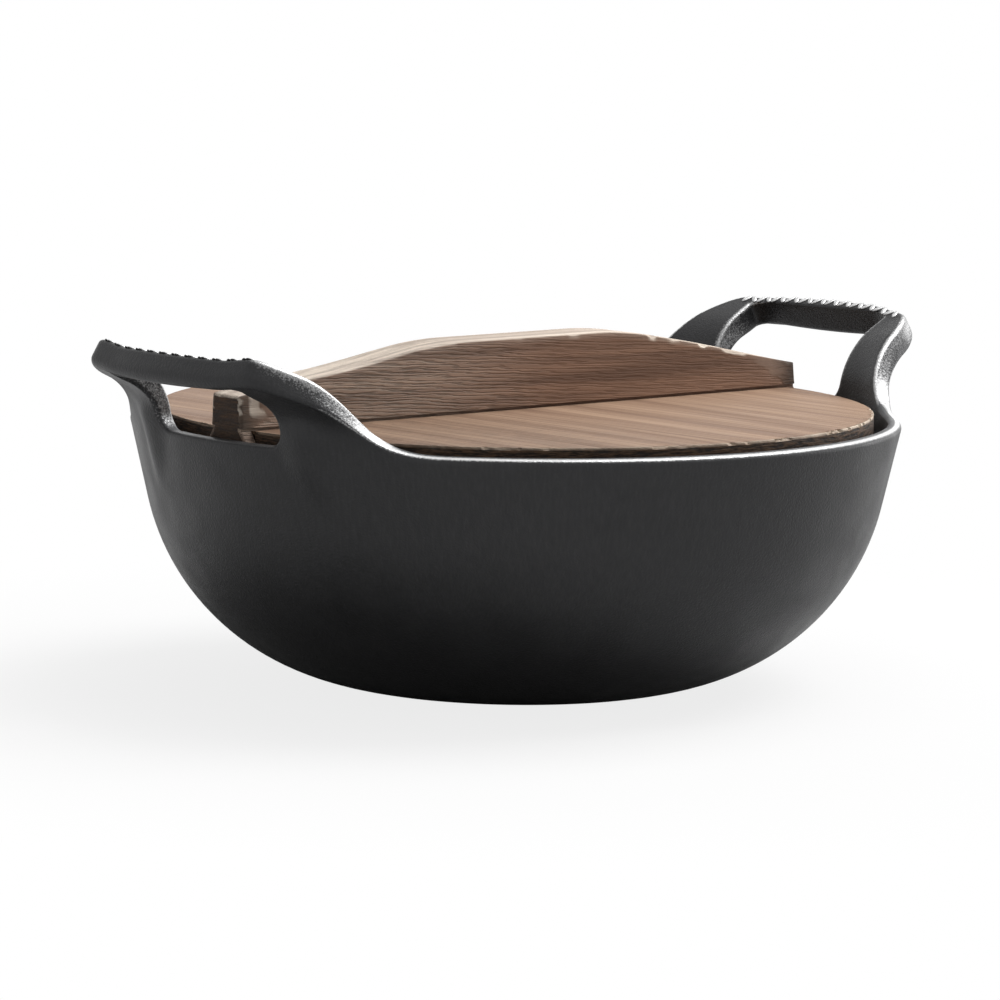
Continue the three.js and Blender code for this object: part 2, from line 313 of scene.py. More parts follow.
class Piece:
    """A piece of the object: the body it rides on, its material slot and the node it stands for."""

    body: ClassVar[Body]
    slot: ClassVar[Slot]
    node: ClassVar[str | None] = None

    def build(self) -> bpy.types.Object:
        """Makes the piece's mesh, as each kind of piece does in its own way."""
        raise NotImplementedError

    def dress(self, material: bpy.types.Material) -> None:
        """Builds the piece, gives it its finish and puts it in its place in the frame.

        Args:
            material: The finish.
        """
        piece = self.build()
        piece.data.materials.append(material)
        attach(piece, self.body.value)
        if self.node:
            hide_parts(self.node)
        log.info("%s: %d faces on body %s", piece.name, len(piece.data.polygons), self.body.value)


def new_material(name: str) -> tuple[bpy.types.Material, bpy.types.NodeTree, bpy.types.Node]:
    """Starts a node material.

    Args:
        name: Name of the finish.

    Returns:
        The material, its node tree and its shader.
    """
    made = bpy.data.materials.new(name)
    made.use_nodes = True
    return made, made.node_tree, made.node_tree.nodes["Principled BSDF"]


def add_node(
    tree: bpy.types.NodeTree,
    kind: str,
    settings: dict[Any, Any] | None = None,
    links: dict[Any, bpy.types.NodeSocket] | None = None,
    output: str | int = 0,
) -> bpy.types.NodeSocket:
    """Adds a node, sets it up and links other nodes' outputs into it.

    Args:
        tree: Node tree of a material or of the world.
        kind: Type of the node, without its prefix.
        settings: Properties of the node by name, and input values by input name or number.
        links: Outputs to link in, by input name or number.
        output: Name or number of the output that is wanted.

    Returns:
        That output.
    """
    node = tree.nodes.new("ShaderNode" + kind)
    for key, value in (settings or {}).items():
        if isinstance(key, str) and hasattr(node, key):
            setattr(node, key, value)
        else:
            node.inputs[key].default_value = value
    for key, source in (links or {}).items():
        tree.links.new(source, node.inputs[key])
    return node.outputs[output]


@dataclass(frozen=True)
class CastIron:
    """Sand-cast iron with a seasoned, oiled skin.

    The sand leaves a fine pebbled skin that breaks up highlights, the oil darkens it to a soft
    satin black, and handling rubs the rim and the handles' edges bright.
    """

    oiled: str = "#2a2a2b"
    dry: str = "#353536"
    bare: str = "#c2c2c2"
    metallic: float = 0.75
    sand_mm: float = 0.8  # sand and pits are about 0.3 mm, and are drawn coarser so that they show
    pit_mm: float = 0.65
    patch_mm: float = 16.0  # patches where the oil lies thicker
    streak_mm: tuple[float, float] = (1.1, 30.0)  # marks of the grinding, across and up
    streak_dark: float = 0.25
    sand_depth_mm: float = 0.16
    pit_strength: float = 0.6
    pit_break: float = 0.15  # how far the pits break up the rubbed edges
    rubbed_off: tuple[float, float] = (0.3, 1.05)  # wear at which the skin begins to go and is gone
    skin_roughness: tuple[float, float] = (0.41, 0.53)
    bare_roughness: float = 0.3

    def material(self) -> bpy.types.Material:
        """Builds the node material.

        Returns:
            The finished material.
        """
        made, tree, shader = new_material("sand_cast_iron_seasoned")
        node = partial(add_node, tree)
        place = node("TexCoord", output="Object")
        sand, pits, patches = (
            node("TexNoise", dict(zip(NOISE, (per_metre(size), *look))), {"Vector": place}, "Fac")
            for size, *look in (
                (self.sand_mm, 2.0, 0.6),
                (self.pit_mm, 3.0, 0.55),
                (self.patch_mm, 3.0, 0.5),
            )
        )
        wide, tall = (per_metre(size) for size in self.streak_mm)
        upright = node("Mapping", {"Scale": (wide, wide, tall)}, {"Vector": place})
        streaks = node("TexNoise", {"Scale": 1.0, "Detail": 2.0}, {"Vector": upright}, "Fac")
        squared = {"operation": "MULTIPLY_ADD", 2: -self.streak_dark}
        tone = node("Math", squared, {0: streaks, 1: streaks})
        shade = node("Math", {"operation": "ADD", "use_clamp": True}, {0: patches, 1: tone})
        skins = {COLOUR_A: to_linear(self.oiled), COLOUR_B: to_linear(self.dry)}
        skin = node("Mix", {"data_type": "RGBA", **skins}, {SHARE: shade}, MIXED_COLOUR)
        broken, satin = (
            node("MapRange", dict(zip(RANGE, limits)), {"Value": pattern})
            for pattern, *limits in (
                (pits, 0.35, 0.65, -self.pit_break, self.pit_break),
                (patches, 0.3, 0.7, *self.skin_roughness),
            )
        )
        rubbed = node("Attribute", {"attribute_name": "worn"}, output="Fac")
        uneven = node("Math", {"operation": "ADD"}, {0: rubbed, 1: broken})
        bright = node("MapRange", dict(zip(RANGE, self.rubbed_off)), {"Value": uneven})
        bare = {"data_type": "RGBA", COLOUR_B: to_linear(self.bare)}
        colour = node("Mix", bare, {SHARE: bright, COLOUR_A: skin}, MIXED_COLOUR)
        polish = {"data_type": "FLOAT", FLOAT_B: self.bare_roughness}
        gloss = node("Mix", polish, {SHARE: bright, FLOAT_A: satin})
        depth = self.sand_depth_mm * MM
        grit = node("Bump", {"Strength": 1.0, "Distance": depth}, {"Height": sand})
        pitted = {"Strength": self.pit_strength, "Distance": depth}
        relief = node("Bump", pitted, {"Height": pits, "Normal": grit})
        shader.inputs["Metallic"].default_value = self.metallic
        tree.links.new(colour, shader.inputs["Base Color"])
        tree.links.new(gloss, shader.inputs["Roughness"])
        tree.links.new(relief, shader.inputs["Normal"])
        return made


@dataclass(frozen=True)
class BrushedWood:
    """Softwood with its soft fibres brushed out, so the grain stands up as fine ribs.

    Broad bands of early and late wood give the colour, fine fibres the streaks and the bump.
    Sawn edges are darker, their colour darkened further by painted shade, and torn arrises show
    pale, clean wood.
    """

    name: str
    grain: Grain
    light: str
    dark: str
    fibre: str
    # colour of sawn and hewn faces, darkened further by painted shade
    sawn: str
    sawn_light: str
    torn: str
    band_mm: tuple[float, float]  # across and along the grain
    fibre_mm: tuple[float, float]  # drawn as bundles: a single fibre is too fine to show
    waviness: float
    wobble: float  # of the ribs that brushing leaves
    rib_share: float
    line_share: float  # how far the fibres' colour goes over the ground
    saw_mm: tuple[float, float] = (7.0, 0.8)  # saw marks, along the edge and up it
    fibre_depth_mm: float = 0.35
    saw_depth_mm: float = 0.5
    bump: float = 0.8
    sheen: float = 0.3
    roughness: tuple[float, float] = (0.58, 0.78)

    def stretch(self, across_mm: float, length_mm: float) -> list[float]:
        """Scales of a pattern with a width across the grain and a length along it.

        Args:
            across_mm: Width of a feature across the grain.
            length_mm: Length of a feature along the grain.

        Returns:
            Scales along x, y and z.
        """
        scale = np.full(3, per_metre(across_mm))
        scale[self.grain.value] = per_metre(length_mm)
        return scale.tolist()

    def material(self) -> bpy.types.Material:
        """Builds the node material.

        Returns:
            The finished material.
        """
        made, tree, shader = new_material(self.name)
        node = partial(add_node, tree)
        place = node("TexCoord", output="Object")
        sawn, torn, brushed = (
            node("Attribute", {"attribute_name": mark}, output="Fac") for mark in WOOD_MARKS
        )
        wide, tall = (per_metre(size) for size in self.saw_mm)
        scales = (self.stretch(*self.band_mm), self.stretch(*self.fibre_mm), (wide, wide, tall))
        band_place, fibre_place, saw_place = (
            node("Mapping", {"Scale": scale}, {"Vector": place}) for scale in scales
        )
        wavy = {"Scale": 1.0, "Detail": 3.0, "Distortion": self.waviness}
        bands = node("TexNoise", wavy, {"Vector": band_place}, "Fac")
        ribbed = {
            "bands_direction": "DIAGONAL",
            "Scale": 0.45,
            "Distortion": self.wobble,
            "Detail": 3.0,
            "Detail Scale": 1.2,
            "Detail Roughness": 0.6,
        }
        ribs = node("TexWave", ribbed, {"Vector": fibre_place}, "Fac")
        fuzz, marks = (
            node("TexNoise", dict(zip(NOISE, look)), {"Vector": spot}, "Fac")
            for spot, *look in ((fibre_place, 1.0, 4.0, 0.65), (saw_place, 1.0, 3.0, 0.7))
        )
        ribby = {"data_type": "FLOAT", SHARE: self.rib_share}
        fibres = node("Mix", ribby, {FLOAT_A: fuzz, FLOAT_B: ribs})
        banding, drawn, marking, clean, dullness = (
            node("MapRange", dict(zip(RANGE, limits)), {"Value": pattern})
            for pattern, *limits in (
                (bands, 0.35, 0.65),
                (fibres, 0.42, 0.7, 0.0, self.line_share),
                (marks, 0.42, 0.66),
                (bands, 0.35, 0.6, 0.45, 1.0),
                (fibres, 0.3, 0.7, *self.roughness),
            )
        )
        lines, pale, saw_cut = (
            node("Math", {"operation": "MULTIPLY"}, {0: pattern, 1: mark})
            for pattern, mark in ((drawn, brushed), (clean, torn), (marks, sawn))
        )
        mixed = {"data_type": "RGBA"}
        grounds = {COLOUR_A: to_linear(self.dark), COLOUR_B: to_linear(self.light)}
        ground = node("Mix", {**mixed, **grounds}, {SHARE: banding}, MIXED_COLOUR)
        edges = {COLOUR_A: to_linear(self.sawn), COLOUR_B: to_linear(self.sawn_light)}
        edge = node("Mix", {**mixed, **edges}, {SHARE: marking}, MIXED_COLOUR)
        fibre = {**mixed, COLOUR_B: to_linear(self.fibre)}
        streaked = node("Mix", fibre, {SHARE: lines, COLOUR_A: ground}, MIXED_COLOUR)
        # the sawn mark mixes in the dark sawn colour, painted shade included
        edged = node("Mix", mixed, {SHARE: sawn, COLOUR_A: streaked, COLOUR_B: edge}, MIXED_COLOUR)
        fresh = {**mixed, COLOUR_B: to_linear(self.torn)}
        colour = node("Mix", fresh, {SHARE: pale, COLOUR_A: edged}, MIXED_COLOUR)
        sawing = {"Strength": self.bump, "Distance": self.saw_depth_mm * MM}
        cut = node("Bump", sawing, {"Height": saw_cut})
        brushing = {"Strength": self.bump, "Distance": self.fibre_depth_mm * MM, "invert": True}
        relief = node("Bump", brushing, {"Height": lines, "Normal": cut})
        shader.inputs["Specular IOR Level"].default_value = self.sheen
        tree.links.new(colour, shader.inputs["Base Color"])
        tree.links.new(dullness, shader.inputs["Roughness"])
        tree.links.new(relief, shader.inputs["Normal"])
        return made


BOARD_WOOD = BrushedWood(
    name="brushed_cedar_board",
    grain=Grain.ALONG_Y,
    light="#a58870",
    dark="#7b5f4b",
    fibre="#674d3c",
    # sawn edge colour with painted shade: near black, for the shade in the gap between lid and rim
    sawn="#1d150f",
    sawn_light="#6a523f",
    torn="#e6d5c1",
    band_mm=(11.0, 300.0),
    fibre_mm=(1.6, 90.0),
    waviness=0.5,
    wobble=4.0,
    rib_share=0.2,
    line_share=0.6,
)

BATTEN_WOOD = BrushedWood(
    name="hewn_cedar_batten",
    grain=Grain.ALONG_X,
    light="#9c7b66",
    dark="#765b4b",
    fibre="#4a372b",
    # hewn end colour with painted shade: darkened to the end that faces away from the lamps
    sawn="#22170f",
    sawn_light="#44301f",
    torn="#efe2d2",
    band_mm=(4.0, 120.0),
    fibre_mm=(0.9, 12.0),
    waviness=0.2,
    wobble=9.0,
    rib_share=0.35,
    line_share=0.9,
)


@dataclass(frozen=True)
class RubbedLine:
    """Bright line that hands rub along an edge.

    Its place across the edge is -1 at the outer face and 1 at the inner one.
    """

    peak: float
    place: float
    width: float

    def at(self, across: Array) -> Array:
        """Brightness at places across the edge: a bell curve round the line."""
        return self.peak * bell(across, self.place, self.width)


@dataclass(frozen=True)
class EdgeWear:
    """How bright hands have rubbed the pot's free edge: 0 is oiled skin and 1 bare iron.

    Heights up an ear are shares, 0 at the rim and 1 at the grip.
    """

    rim: RubbedLine = RubbedLine(1.3, -0.25, 0.26)
    inner: RubbedLine = RubbedLine(1.15, 0.6, 0.42)  # on the struts at positive turns
    inner_dull: RubbedLine = RubbedLine(0.85, 0.6, 0.42)  # on those at negative turns
    outer: RubbedLine = RubbedLine(0.6, -0.6, 0.2)
    foot: RubbedLine = RubbedLine(1.2, 0.0, 0.5)  # along the middle, low on a sweep
    top: RubbedLine = RubbedLine(0.42, 0.3, 0.4)  # and high on it
    held: RubbedLine = RubbedLine(0.72, 0.1, 0.6)  # under the thumb, at negative turns
    held_height: tuple[float, float] = (0.95, 0.24)  # middle and width
    dull_heights: tuple[float, float] = (0.05, 0.35)  # between which the middle loses its shine
    top_heights: tuple[float, float] = (0.3, 0.8)  # between which the lines shift and narrow
    grip_dull: float = 0.92  # share of the brightness that the grip lacks

    def worn(
        self, across: Array, turn: Array, up_ear: Array, ground: Array, gripped: Array
    ) -> Array:
        """Brightest of all lines at each point of the edge.

        Args:
            across: Place across the edge, one row per line of the edge.
            turn: Degrees about Z from the handle's middle.
            up_ear: Height up the ear.
            ground: How far the edge is a ground sweep and not the plain rim, 0 to 1.
            gripped: How far it is the grip, 0 to 1.

        Returns:
            Wear, one row per line of the edge.
        """
        high = smoothstep(up_ear, *self.top_heights)
        peak = blend(self.foot.peak, self.top.peak, smoothstep(up_ear, *self.dull_heights))
        place = blend(self.foot.place, self.top.place, high)
        middle = peak * bell(across, place, blend(self.foot.width, self.top.width, high))
        inner = np.where(turn < 0, self.inner_dull.at(across), self.inner.at(across))
        outer = (1 - high) * self.outer.at(across)
        held = self.held.at(across) * bell(up_ear, *self.held_height) * (turn < 0)
        rubbed = np.maximum.reduce([middle, inner, outer, held])
        return blend(self.rim.at(across), rubbed, ground) * (1 - self.grip_dull * gripped)


@dataclass(frozen=True)
class Unevenness:
    """How far a grip came out of the mould too high, in millimetres."""

    level: float
    slope: float  # from the grip's middle to its end
    arch: float
    start: float  # height over the base at which it begins


@dataclass
class CastPot(Piece):
    """Bowl and both ears, one iron casting.

    A section runs from the flat base round a corner arc up a straight leaning wall. At each
    handle the wall runs on above the rim, bends outwards and thickens into a grip, with a
    finger opening cast through it and a rib on the wall at each side of the opening.
    """

    body = Body.POT
    slot = Slot.IRON
    node = "pot"

    base_radius: float = 47.4
    corner_radius: float = 83.0
    wall_angle: float = 77.2
    wall: float = 5.0
    rim_height: float = 94.0
    edge_round: float = 0.75  # radius of the outer edge, as a share of half the thickness
    sweep_round: float = 0.35  # the same on the ears' sweeps, which are ground flat
    inner_round: float = 0.6  # the same for the rim's inner edge
    ground_heights: tuple[float, float] = (0.01, 0.12)  # shares of the ear where grinding begins
    seat_depth: float = 8.4
    ledge_reach: float = 6.5
    ledge_face: float = 2.0
    ledge_round: float = 0.6
    ear_stem: float = 6.8
    ear_bend_radius: float = 22.0
    ear_lip_angle: float = 28.0
    ear_lip: float = 13.0
    ear_shoulder: float = 18.5
    ear_foot: float = 40.0
    ear_sweep: float = 3.2  # power of the curve from the rim up to the grip
    ear_shoulder_round: float = 0.7
    ear_straighten: float = 0.3
    grip_thickness: float = 9.6
    grip_start: float = -4.0  # mm past the rim where the wall begins to thicken
    grip_half: float = 35.0  # mm from the middle of a grip to its end
    grip_turns: tuple[float, float] = (-4.0, 2.0)  # past the shoulder, where the grip's round ends
    finger_width: float = 64.0
    finger_lean: float = 2.5
    finger_height: float = 26.8
    finger_draft: float = 67.0
    finger_top_round: float = 9.0
    finger_bottom_round: float = 6.0
    finger_climb: float = 2.2  # power that spaces points evenly up the opening's sides
    finger_flank: float = 0.35  # share of a side that belongs to the flank's grid lines
    finger_outer_lip: float = 1.7
    finger_inner_lip: float = 1.0
    rib_height: float = 2.2
    rib_top_angle: float = 17.5
    rib_foot_angle: float = 19.8
    rib_top_spread: float = 5.0
    rib_foot_spread: float = 2.6
    rib_drop: float = 24.0
    rib_rise: float = 14.0
    uneven_right: Unevenness = Unevenness(0.6, -0.6, 0.9, 112.0)
    uneven_left: Unevenness = Unevenness(-1.4, 0.0, 0.0, 100.0)
    uneven_rise: float = 12.0  # mm of height over which it comes in
    uneven_ends: tuple[float, float] = (0.7, 1.2)  # shares of half a grip where it fades
    ear_span: float = 44.0  # degrees to each side of a handle that its own grids cover

    wear: EdgeWear = EdgeWear()
    dull_turns: tuple[float, float] = (-5.5, -0.5)  # past the shoulder, where the dull grip ends
    lip_reach: float = 0.7  # mm that the lips' brightness fades over
    lip_radius: float = 130.0  # at which turns are measured for that
    outer_lip_worn: tuple[float, float] = (0.05, 0.2)  # along sill and roof, and up the sides
    inner_lip_worn: tuple[float, float] = (0.05, 0.5)
    lip_crest_worn: float = 0.4  # how much brighter the middle of a lip is
    side_worn: float = 0.5  # of the opening's sides
    side_dull: float = 0.8  # share of that which is lost towards the roof

    side_steps: int = 36
    sill_steps: int = 72
    flank_steps: int = 14
    sweep_steps: int = 46
    grip_steps: int = 60
    across_steps: int = 32
    round_steps: int = 6
    corner_steps: int = 24
    ledge_steps: int = 4
    inner_arc_rows: int = 30
    outer_arc_rows: int = 36
    trial_steps: int = 2000  # of the rough edge line that even spacing is measured on
    locate_rounds: int = 5
    halvings: int = 48

    def __post_init__(self) -> None:
        """Works out the lengths along the middle line of the casting's section."""
        self.slope = math.radians(self.wall_angle)
        lip = math.radians(self.ear_lip_angle)
        middle = self.corner_radius - self.wall / 2
        self.start_radius = self.base_radius + middle * math.sin(self.slope)
        self.start_height = self.corner_radius - middle * math.cos(self.slope)
        self.wall_length = (self.rim_height - self.start_height) / math.sin(self.slope)
        self.stem_end = self.wall_length + self.ear_stem
        self.bend_length = self.ear_bend_radius * (self.slope - lip)
        self.ear_length = self.ear_stem + self.bend_length + self.ear_lip
        self.thick_end = self.ear_length - self.ear_lip / 2
        self.seat_height = self.rim_height - self.seat_depth
        seat = self.seat_height - self.start_height - self.wall / 2 * math.cos(self.slope)
        self.lows = {Face.OUTER: 0.0, Face.INNER: seat / math.sin(self.slope)}
        self.surfaces = {Face.OUTER: self.outer, Face.INNER: self.inner}

    def middle_line(self, length: Array) -> tuple[Array, Array, Array]:
        """Middle of the section: a straight wall, an arc that turns outwards, a straight lip.

        Args:
            length: Millimetres from the end of the bowl's corner arc.

        Returns:
            Radius, height and slope at each length.
        """
        straight = np.minimum(length, self.stem_end)
        bend = np.clip(length - self.stem_end, 0, self.bend_length)
        lip = np.maximum(length - self.stem_end - self.bend_length, 0)
        angle = self.slope - bend / self.ear_bend_radius
        bent_out = self.ear_bend_radius * (math.sin(self.slope) - np.sin(angle))
        bent_up = self.ear_bend_radius * (np.cos(angle) - math.cos(self.slope))
        radius = self.start_radius + straight * math.cos(self.slope) + bent_out
        height = self.start_height + straight * math.sin(self.slope) + bent_up
        return radius + lip * np.cos(angle), height + lip * np.sin(angle), angle

    def straightening(self, turn: Array, length: Array) -> Array:
        """Factor on the radius up an ear, part of the way to 1 / cos(turn), a straight grip."""
        straight = 1 / np.cos(np.radians(np.minimum(np.abs(turn), self.ear_foot)))
        return blend(1.0, straight, self.ear_straighten * smoothstep(self.up_ear(length), 0, 1))

    def place(self, turn: Array, length: Array, offset: Array) -> Array:
        """Points off the middle line, square to it and straightened up the ear.

        Args:
            turn: Degrees about Z from the handle's middle.
            length: Length up the section.
            offset: Distance from the middle line, positive on the outer side.

        Returns:
            Points as x, y, z.
        """
        radius, height, angle = self.middle_line(length)
        radius = (radius + offset * np.sin(angle)) * self.straightening(turn, length)
        return revolve(turn, radius, height - offset * np.cos(angle))

    def unbend(self, radius: Array, height: Array) -> tuple[Array, Array]:
        """Finds points of a section again by length and offset.

        The nearest point is found on the wall's line, then on the bend's circle beyond the
        stem, then on the lip's line beyond the bend.

        Args:
            radius: Radius of each point, before straightening.
            height: Height of each point.

        Returns:
            Length and offset of each point.
        """
        out = radius - self.start_radius
        up = height - self.start_height
        length = out * math.cos(self.slope) + up * math.sin(self.slope)
        offset = out * math.sin(self.slope) - up * math.cos(self.slope)
        bend_out = out - self.stem_end * math.cos(self.slope)
        bend_out = bend_out - self.ear_bend_radius * math.sin(self.slope)
        bend_up = up - self.stem_end * math.sin(self.slope)
        bend_up = bend_up + self.ear_bend_radius * math.cos(self.slope)
        angle = np.arctan2(-bend_out, bend_up)
        bent = length > self.stem_end
        turned = self.ear_bend_radius * (self.slope - angle)
        length = np.where(bent, self.stem_end + turned, length)
        offset = np.where(bent, self.ear_bend_radius - np.hypot(bend_out, bend_up), offset)
        bend_end = self.stem_end + self.bend_length
        end_radius, end_height, end_angle = self.middle_line(np.float64(bend_end))
        lip_out, lip_up = radius - end_radius, height - end_height
        past = lip_out * np.cos(end_angle) + lip_up * np.sin(end_angle)
        beyond = bent & (angle < end_angle)
        length = np.where(beyond, bend_end + past, length)
        lip_offset = lip_out * np.sin(end_angle) - lip_up * np.cos(end_angle)
        return length, np.where(beyond, lip_offset, offset)

    def locate(self, turn: Array, radius: Array, height: Array) -> tuple[Array, Array]:
        """The reverse of place, by correcting the radius for the straightening a few times.

        Args:
            turn: Degrees about Z from the handle's middle.
            radius: Radius of each point.
            height: Height of each point.

        Returns:
            Length and offset of each point.
        """
        plain = radius
        for _ in range(self.locate_rounds):
            length, _ = self.unbend(plain, height)
            plain = radius / self.straightening(turn, length)
        return self.unbend(plain, height)

    def up_ear(self, length: Array) -> Array:
        """Share of the ear's length: 0 at the rim and 1 at the grip's edge."""
        return (length - self.wall_length) / self.ear_length

    def half_thickness(self, length: Array) -> Array:
        """Half the wall, growing by smoothstep to half the grip along the ear."""
        grown = smoothstep(length - self.wall_length, self.grip_start, self.thick_end)
        return blend(self.wall, self.grip_thickness, grown) / 2

    def rib(self, turn: Array, length: Array) -> Array:
        """Height of the ribs: a crest that swells up the wall and dies into the ear.

        Args:
            turn: Degrees about Z from the handle's middle.
            length: Length up the section.

        Returns:
            Height over the outer face.
        """
        up = length - self.wall_length
        climb = smoothstep(up, -self.rib_drop, 0)
        fade = 1 - smoothstep(up, self.rib_rise / 4, self.rib_rise)
        crest = blend(self.rib_foot_angle, self.rib_top_angle, climb)
        spread = blend(self.rib_foot_spread, self.rib_top_spread, climb)
        across = 1 - smoothstep(np.abs(np.abs(turn) - crest) / spread, 0, 1)
        return self.rib_height * climb * fade * across

    def outer(self, turn: Array, length: Array) -> Array:
        """Points of the outer face, ribs included."""
        return self.place(turn, length, self.half_thickness(length) + self.rib(turn, length))

    def inner(self, turn: Array, length: Array) -> Array:
        """Points of the inner face."""
        return self.place(turn, length, -self.half_thickness(length))

    def edge_length(self, turn: Array) -> Array:
        """Length at which the casting ends: the rim, swept up to the grip by a power curve.

        Args:
            turn: Degrees about Z from the handle's middle.

        Returns:
            Length up the section.
        """
        share = (self.ear_foot - np.abs(turn)) / (self.ear_foot - self.ear_shoulder)
        swept = np.clip(share, 0, None) ** self.ear_sweep
        swept = rounded_min(swept, np.float64(1.0), self.ear_shoulder_round)
        return self.wall_length + self.ear_length * swept

    def away(self, turn: Array, length: Array, loop: bool) -> tuple[Array, Array]:
        """Unit normals of a line drawn on the casting, to the right of its direction.

        Args:
            turn: Degrees about Z of the line's points.
            length: Lengths of the line's points.
            loop: True where the line closes on itself.

        Returns:
            Degrees per millimetre and millimetres per millimetre along the normal.
        """
        radius = self.middle_line(length)[0]
        if loop:
            step_turn = np.roll(turn, -1) - np.roll(turn, 1)
            step_length = np.roll(length, -1) - np.roll(length, 1)
        else:
            step_turn, step_length = np.gradient(turn), np.gradient(length)
        across = radius * np.radians(step_turn)
        norm = np.hypot(across, step_length)
        return np.degrees(step_length / norm / radius), -across / norm

    def rim_line(self) -> tuple[Array, Array]:
        """Free edge round one handle's side of the pot, evenly spaced along sweeps and grip.

        Returns:
            Turn and length of its points, from +90 to -90 degrees.
        """
        fine = np.linspace(self.ear_span, 0, self.trial_steps)
        length = self.edge_length(fine)
        radius = self.middle_line(length)[0]
        run = np.hypot(np.diff(length), radius[1:] * np.radians(np.diff(fine)))
        reached = np.concatenate(([0.0], np.cumsum(run)))
        shoulder = np.interp(-self.ear_shoulder, -fine, reached)
        stops = spans(
            (0, shoulder, self.sweep_steps), (shoulder, reached[-1], self.grip_steps // 2)
        )
        swept = np.interp(stops, reached, fine)
        plain = np.linspace(90, self.ear_span, self.side_steps, endpoint=False)
        half = np.concatenate([plain, swept])
        turn = np.concatenate([half, [0.0], -half[::-1]])
        return turn, self.edge_length(turn)

    def edge_strip(self) -> tuple[Array, Array, dict[Face, tuple[Array, Array]]]:
        """Free edge along the rim and the ear, square to the edge line everywhere.

        A quarter round joins the outer face, a smaller one the inner face, with a flat between.

        Returns:
            Grid of points, its wear, and turn and length of the lines where the rounds begin,
            by face.
        """
        turn, length = self.rim_line()
        off_turn, off_length = self.away(-turn, length, False)
        half = self.half_thickness(length)
        up_ear = self.up_ear(length)
        past = np.abs(turn) - self.ear_shoulder
        grip = 1 - smoothstep(past, *self.grip_turns)
        ground = smoothstep(up_ear, *self.ground_heights)
        outer = blend(self.edge_round, self.sweep_round, ground * (1 - grip)) * half
        inner = blend(self.inner_round, self.sweep_round, ground) * half
        swing = np.linspace(0, QUARTER, self.round_steps + 1)[:, None]
        back, down = 1 - np.sin(swing), 1 - np.cos(swing)
        flat = np.array([0.25, 0.5, 0.75])[:, None]
        inset = np.concatenate([outer * back, flat * 0 * half, inner * back[::-1]])
        level = np.concatenate([
            half - outer * down,
            blend(half - outer, inner - half, flat),
            inner * down[::-1] - half,
        ])
        strip_turn = turn - inset * off_turn
        strip_length = length + inset * off_length
        offset = level + np.sign(level) * (self.half_thickness(strip_length) - half)
        grid = self.place(strip_turn, strip_length, offset)
        across = np.linspace(-1, 1, len(grid))[:, None]
        gripped = 1 - smoothstep(past, *self.dull_turns)
        worn = self.wear.worn(across, turn, up_ear, ground, gripped)
        lines = {
            face: (strip_turn[row], strip_length[row])
            for face, row in ((Face.OUTER, 0), (Face.INNER, -1))
        }
        return grid, worn, lines

    def finger_line(self) -> Array:
        """Outline of the finger opening, in order with the loop of grid lines round it.

        A rounded rectangle on the rim's level, from its lower left corner along the sill.

        Returns:
            Across and up of each point.
        """
        half, top = self.finger_width / 2, self.finger_height
        low, high = self.finger_bottom_round, self.finger_top_round
        swing = np.linspace(0, QUARTER, self.corner_steps)
        cos, sin = np.cos(swing), np.sin(swing)
        lower = np.stack([half - low + low * sin, low - low * cos], axis=-1)
        upper = np.stack([half - high + high * cos, top - high + high * sin], axis=-1)
        right = np.concatenate([[[0, 0]], lower, upper, [[0, top]]])
        outline = np.concatenate([right, right[-2::-1] * [-1, 1]])
        sill, side = half - low, top - high - low
        lower_arc, upper_arc = low * QUARTER, high * QUARTER
        corner = sill + lower_arc / 2
        flank = sill + lower_arc + self.finger_flank * side
        shoulder = sill + lower_arc + side + upper_arc / 2
        total = 2 * (sill + lower_arc + side + upper_arc + half - high)
        lengths = spans(
            (-corner, corner, self.sill_steps),
            (corner, flank, self.flank_steps),
            (flank, shoulder, self.sweep_steps),
            (shoulder, total - shoulder, self.grip_steps),
            (total - shoulder, total - flank, self.sweep_steps),
            (total - flank, total - corner, self.flank_steps),
        )
        points = along(outline, np.mod(lengths, total))
        climb = self.roof_share(points) ** self.finger_climb
        upright = (points[:, 1] > low) & (points[:, 1] < top - high)
        points[:, 1] = np.where(upright, low + side * climb, points[:, 1])
        return points

    def roof_share(self, outline: Array) -> Array:
        """How much of the roof's rise each point of the opening's outline takes, 0 to 1."""
        side = self.finger_height - self.finger_top_round - self.finger_bottom_round
        return np.clip((outline[:, 1] - self.finger_bottom_round) / side, 0, 1)

    def finger_wall(self, outline: Array, reach: Array) -> Array:
        """Points of the opening's wall: the outline carried along X.

        The sides lean out with height and the roof rises steeply towards the inside.

        Args:
            outline: Across and up of each point.
            reach: X of each point.

        Returns:
            Points as x, y, z.
        """
        lip_middle = np.float64(self.wall_length + self.thick_end)
        inwards = self.middle_line(lip_middle)[0] - reach
        rise = inwards * math.tan(math.radians(self.finger_draft))
        up = outline[:, 1] + self.roof_share(outline) * rise
        lean = np.sign(outline[:, 0]) * self.finger_lean * up / self.finger_height
        across, up, reach = np.broadcast_arrays(outline[:, 0] + lean, up, reach)
        return np.stack([reach, across, self.rim_height + up], axis=-1)

    def finger_reach(self, outline: Array, face: Face) -> tuple[Array, Array, Array]:
        """Where the opening's wall meets a face of the ear, by halving an interval along X.

        Args:
            outline: Across and up of each point.
            face: Face of the ear.

        Returns:
            X of each point, and its turn and length on that face.
        """
        low = np.full(len(outline), self.start_radius - 3 * self.wall)
        high = np.full(len(outline), self.start_radius + 2 * self.ear_length)
        for _ in range(self.halvings):
            reach = (low + high) / 2
            x, y, z = self.finger_wall(outline, reach).T
            turn = np.degrees(np.arctan2(y, x))
            length, offset = self.locate(turn, np.hypot(x, y), z)
            half = self.half_thickness(length)
            target = half + self.rib(turn, length) if face is Face.OUTER else -half
            outside = offset > target
            high = np.where(outside, reach, high)
            low = np.where(outside, low, reach)
        return reach, turn, length

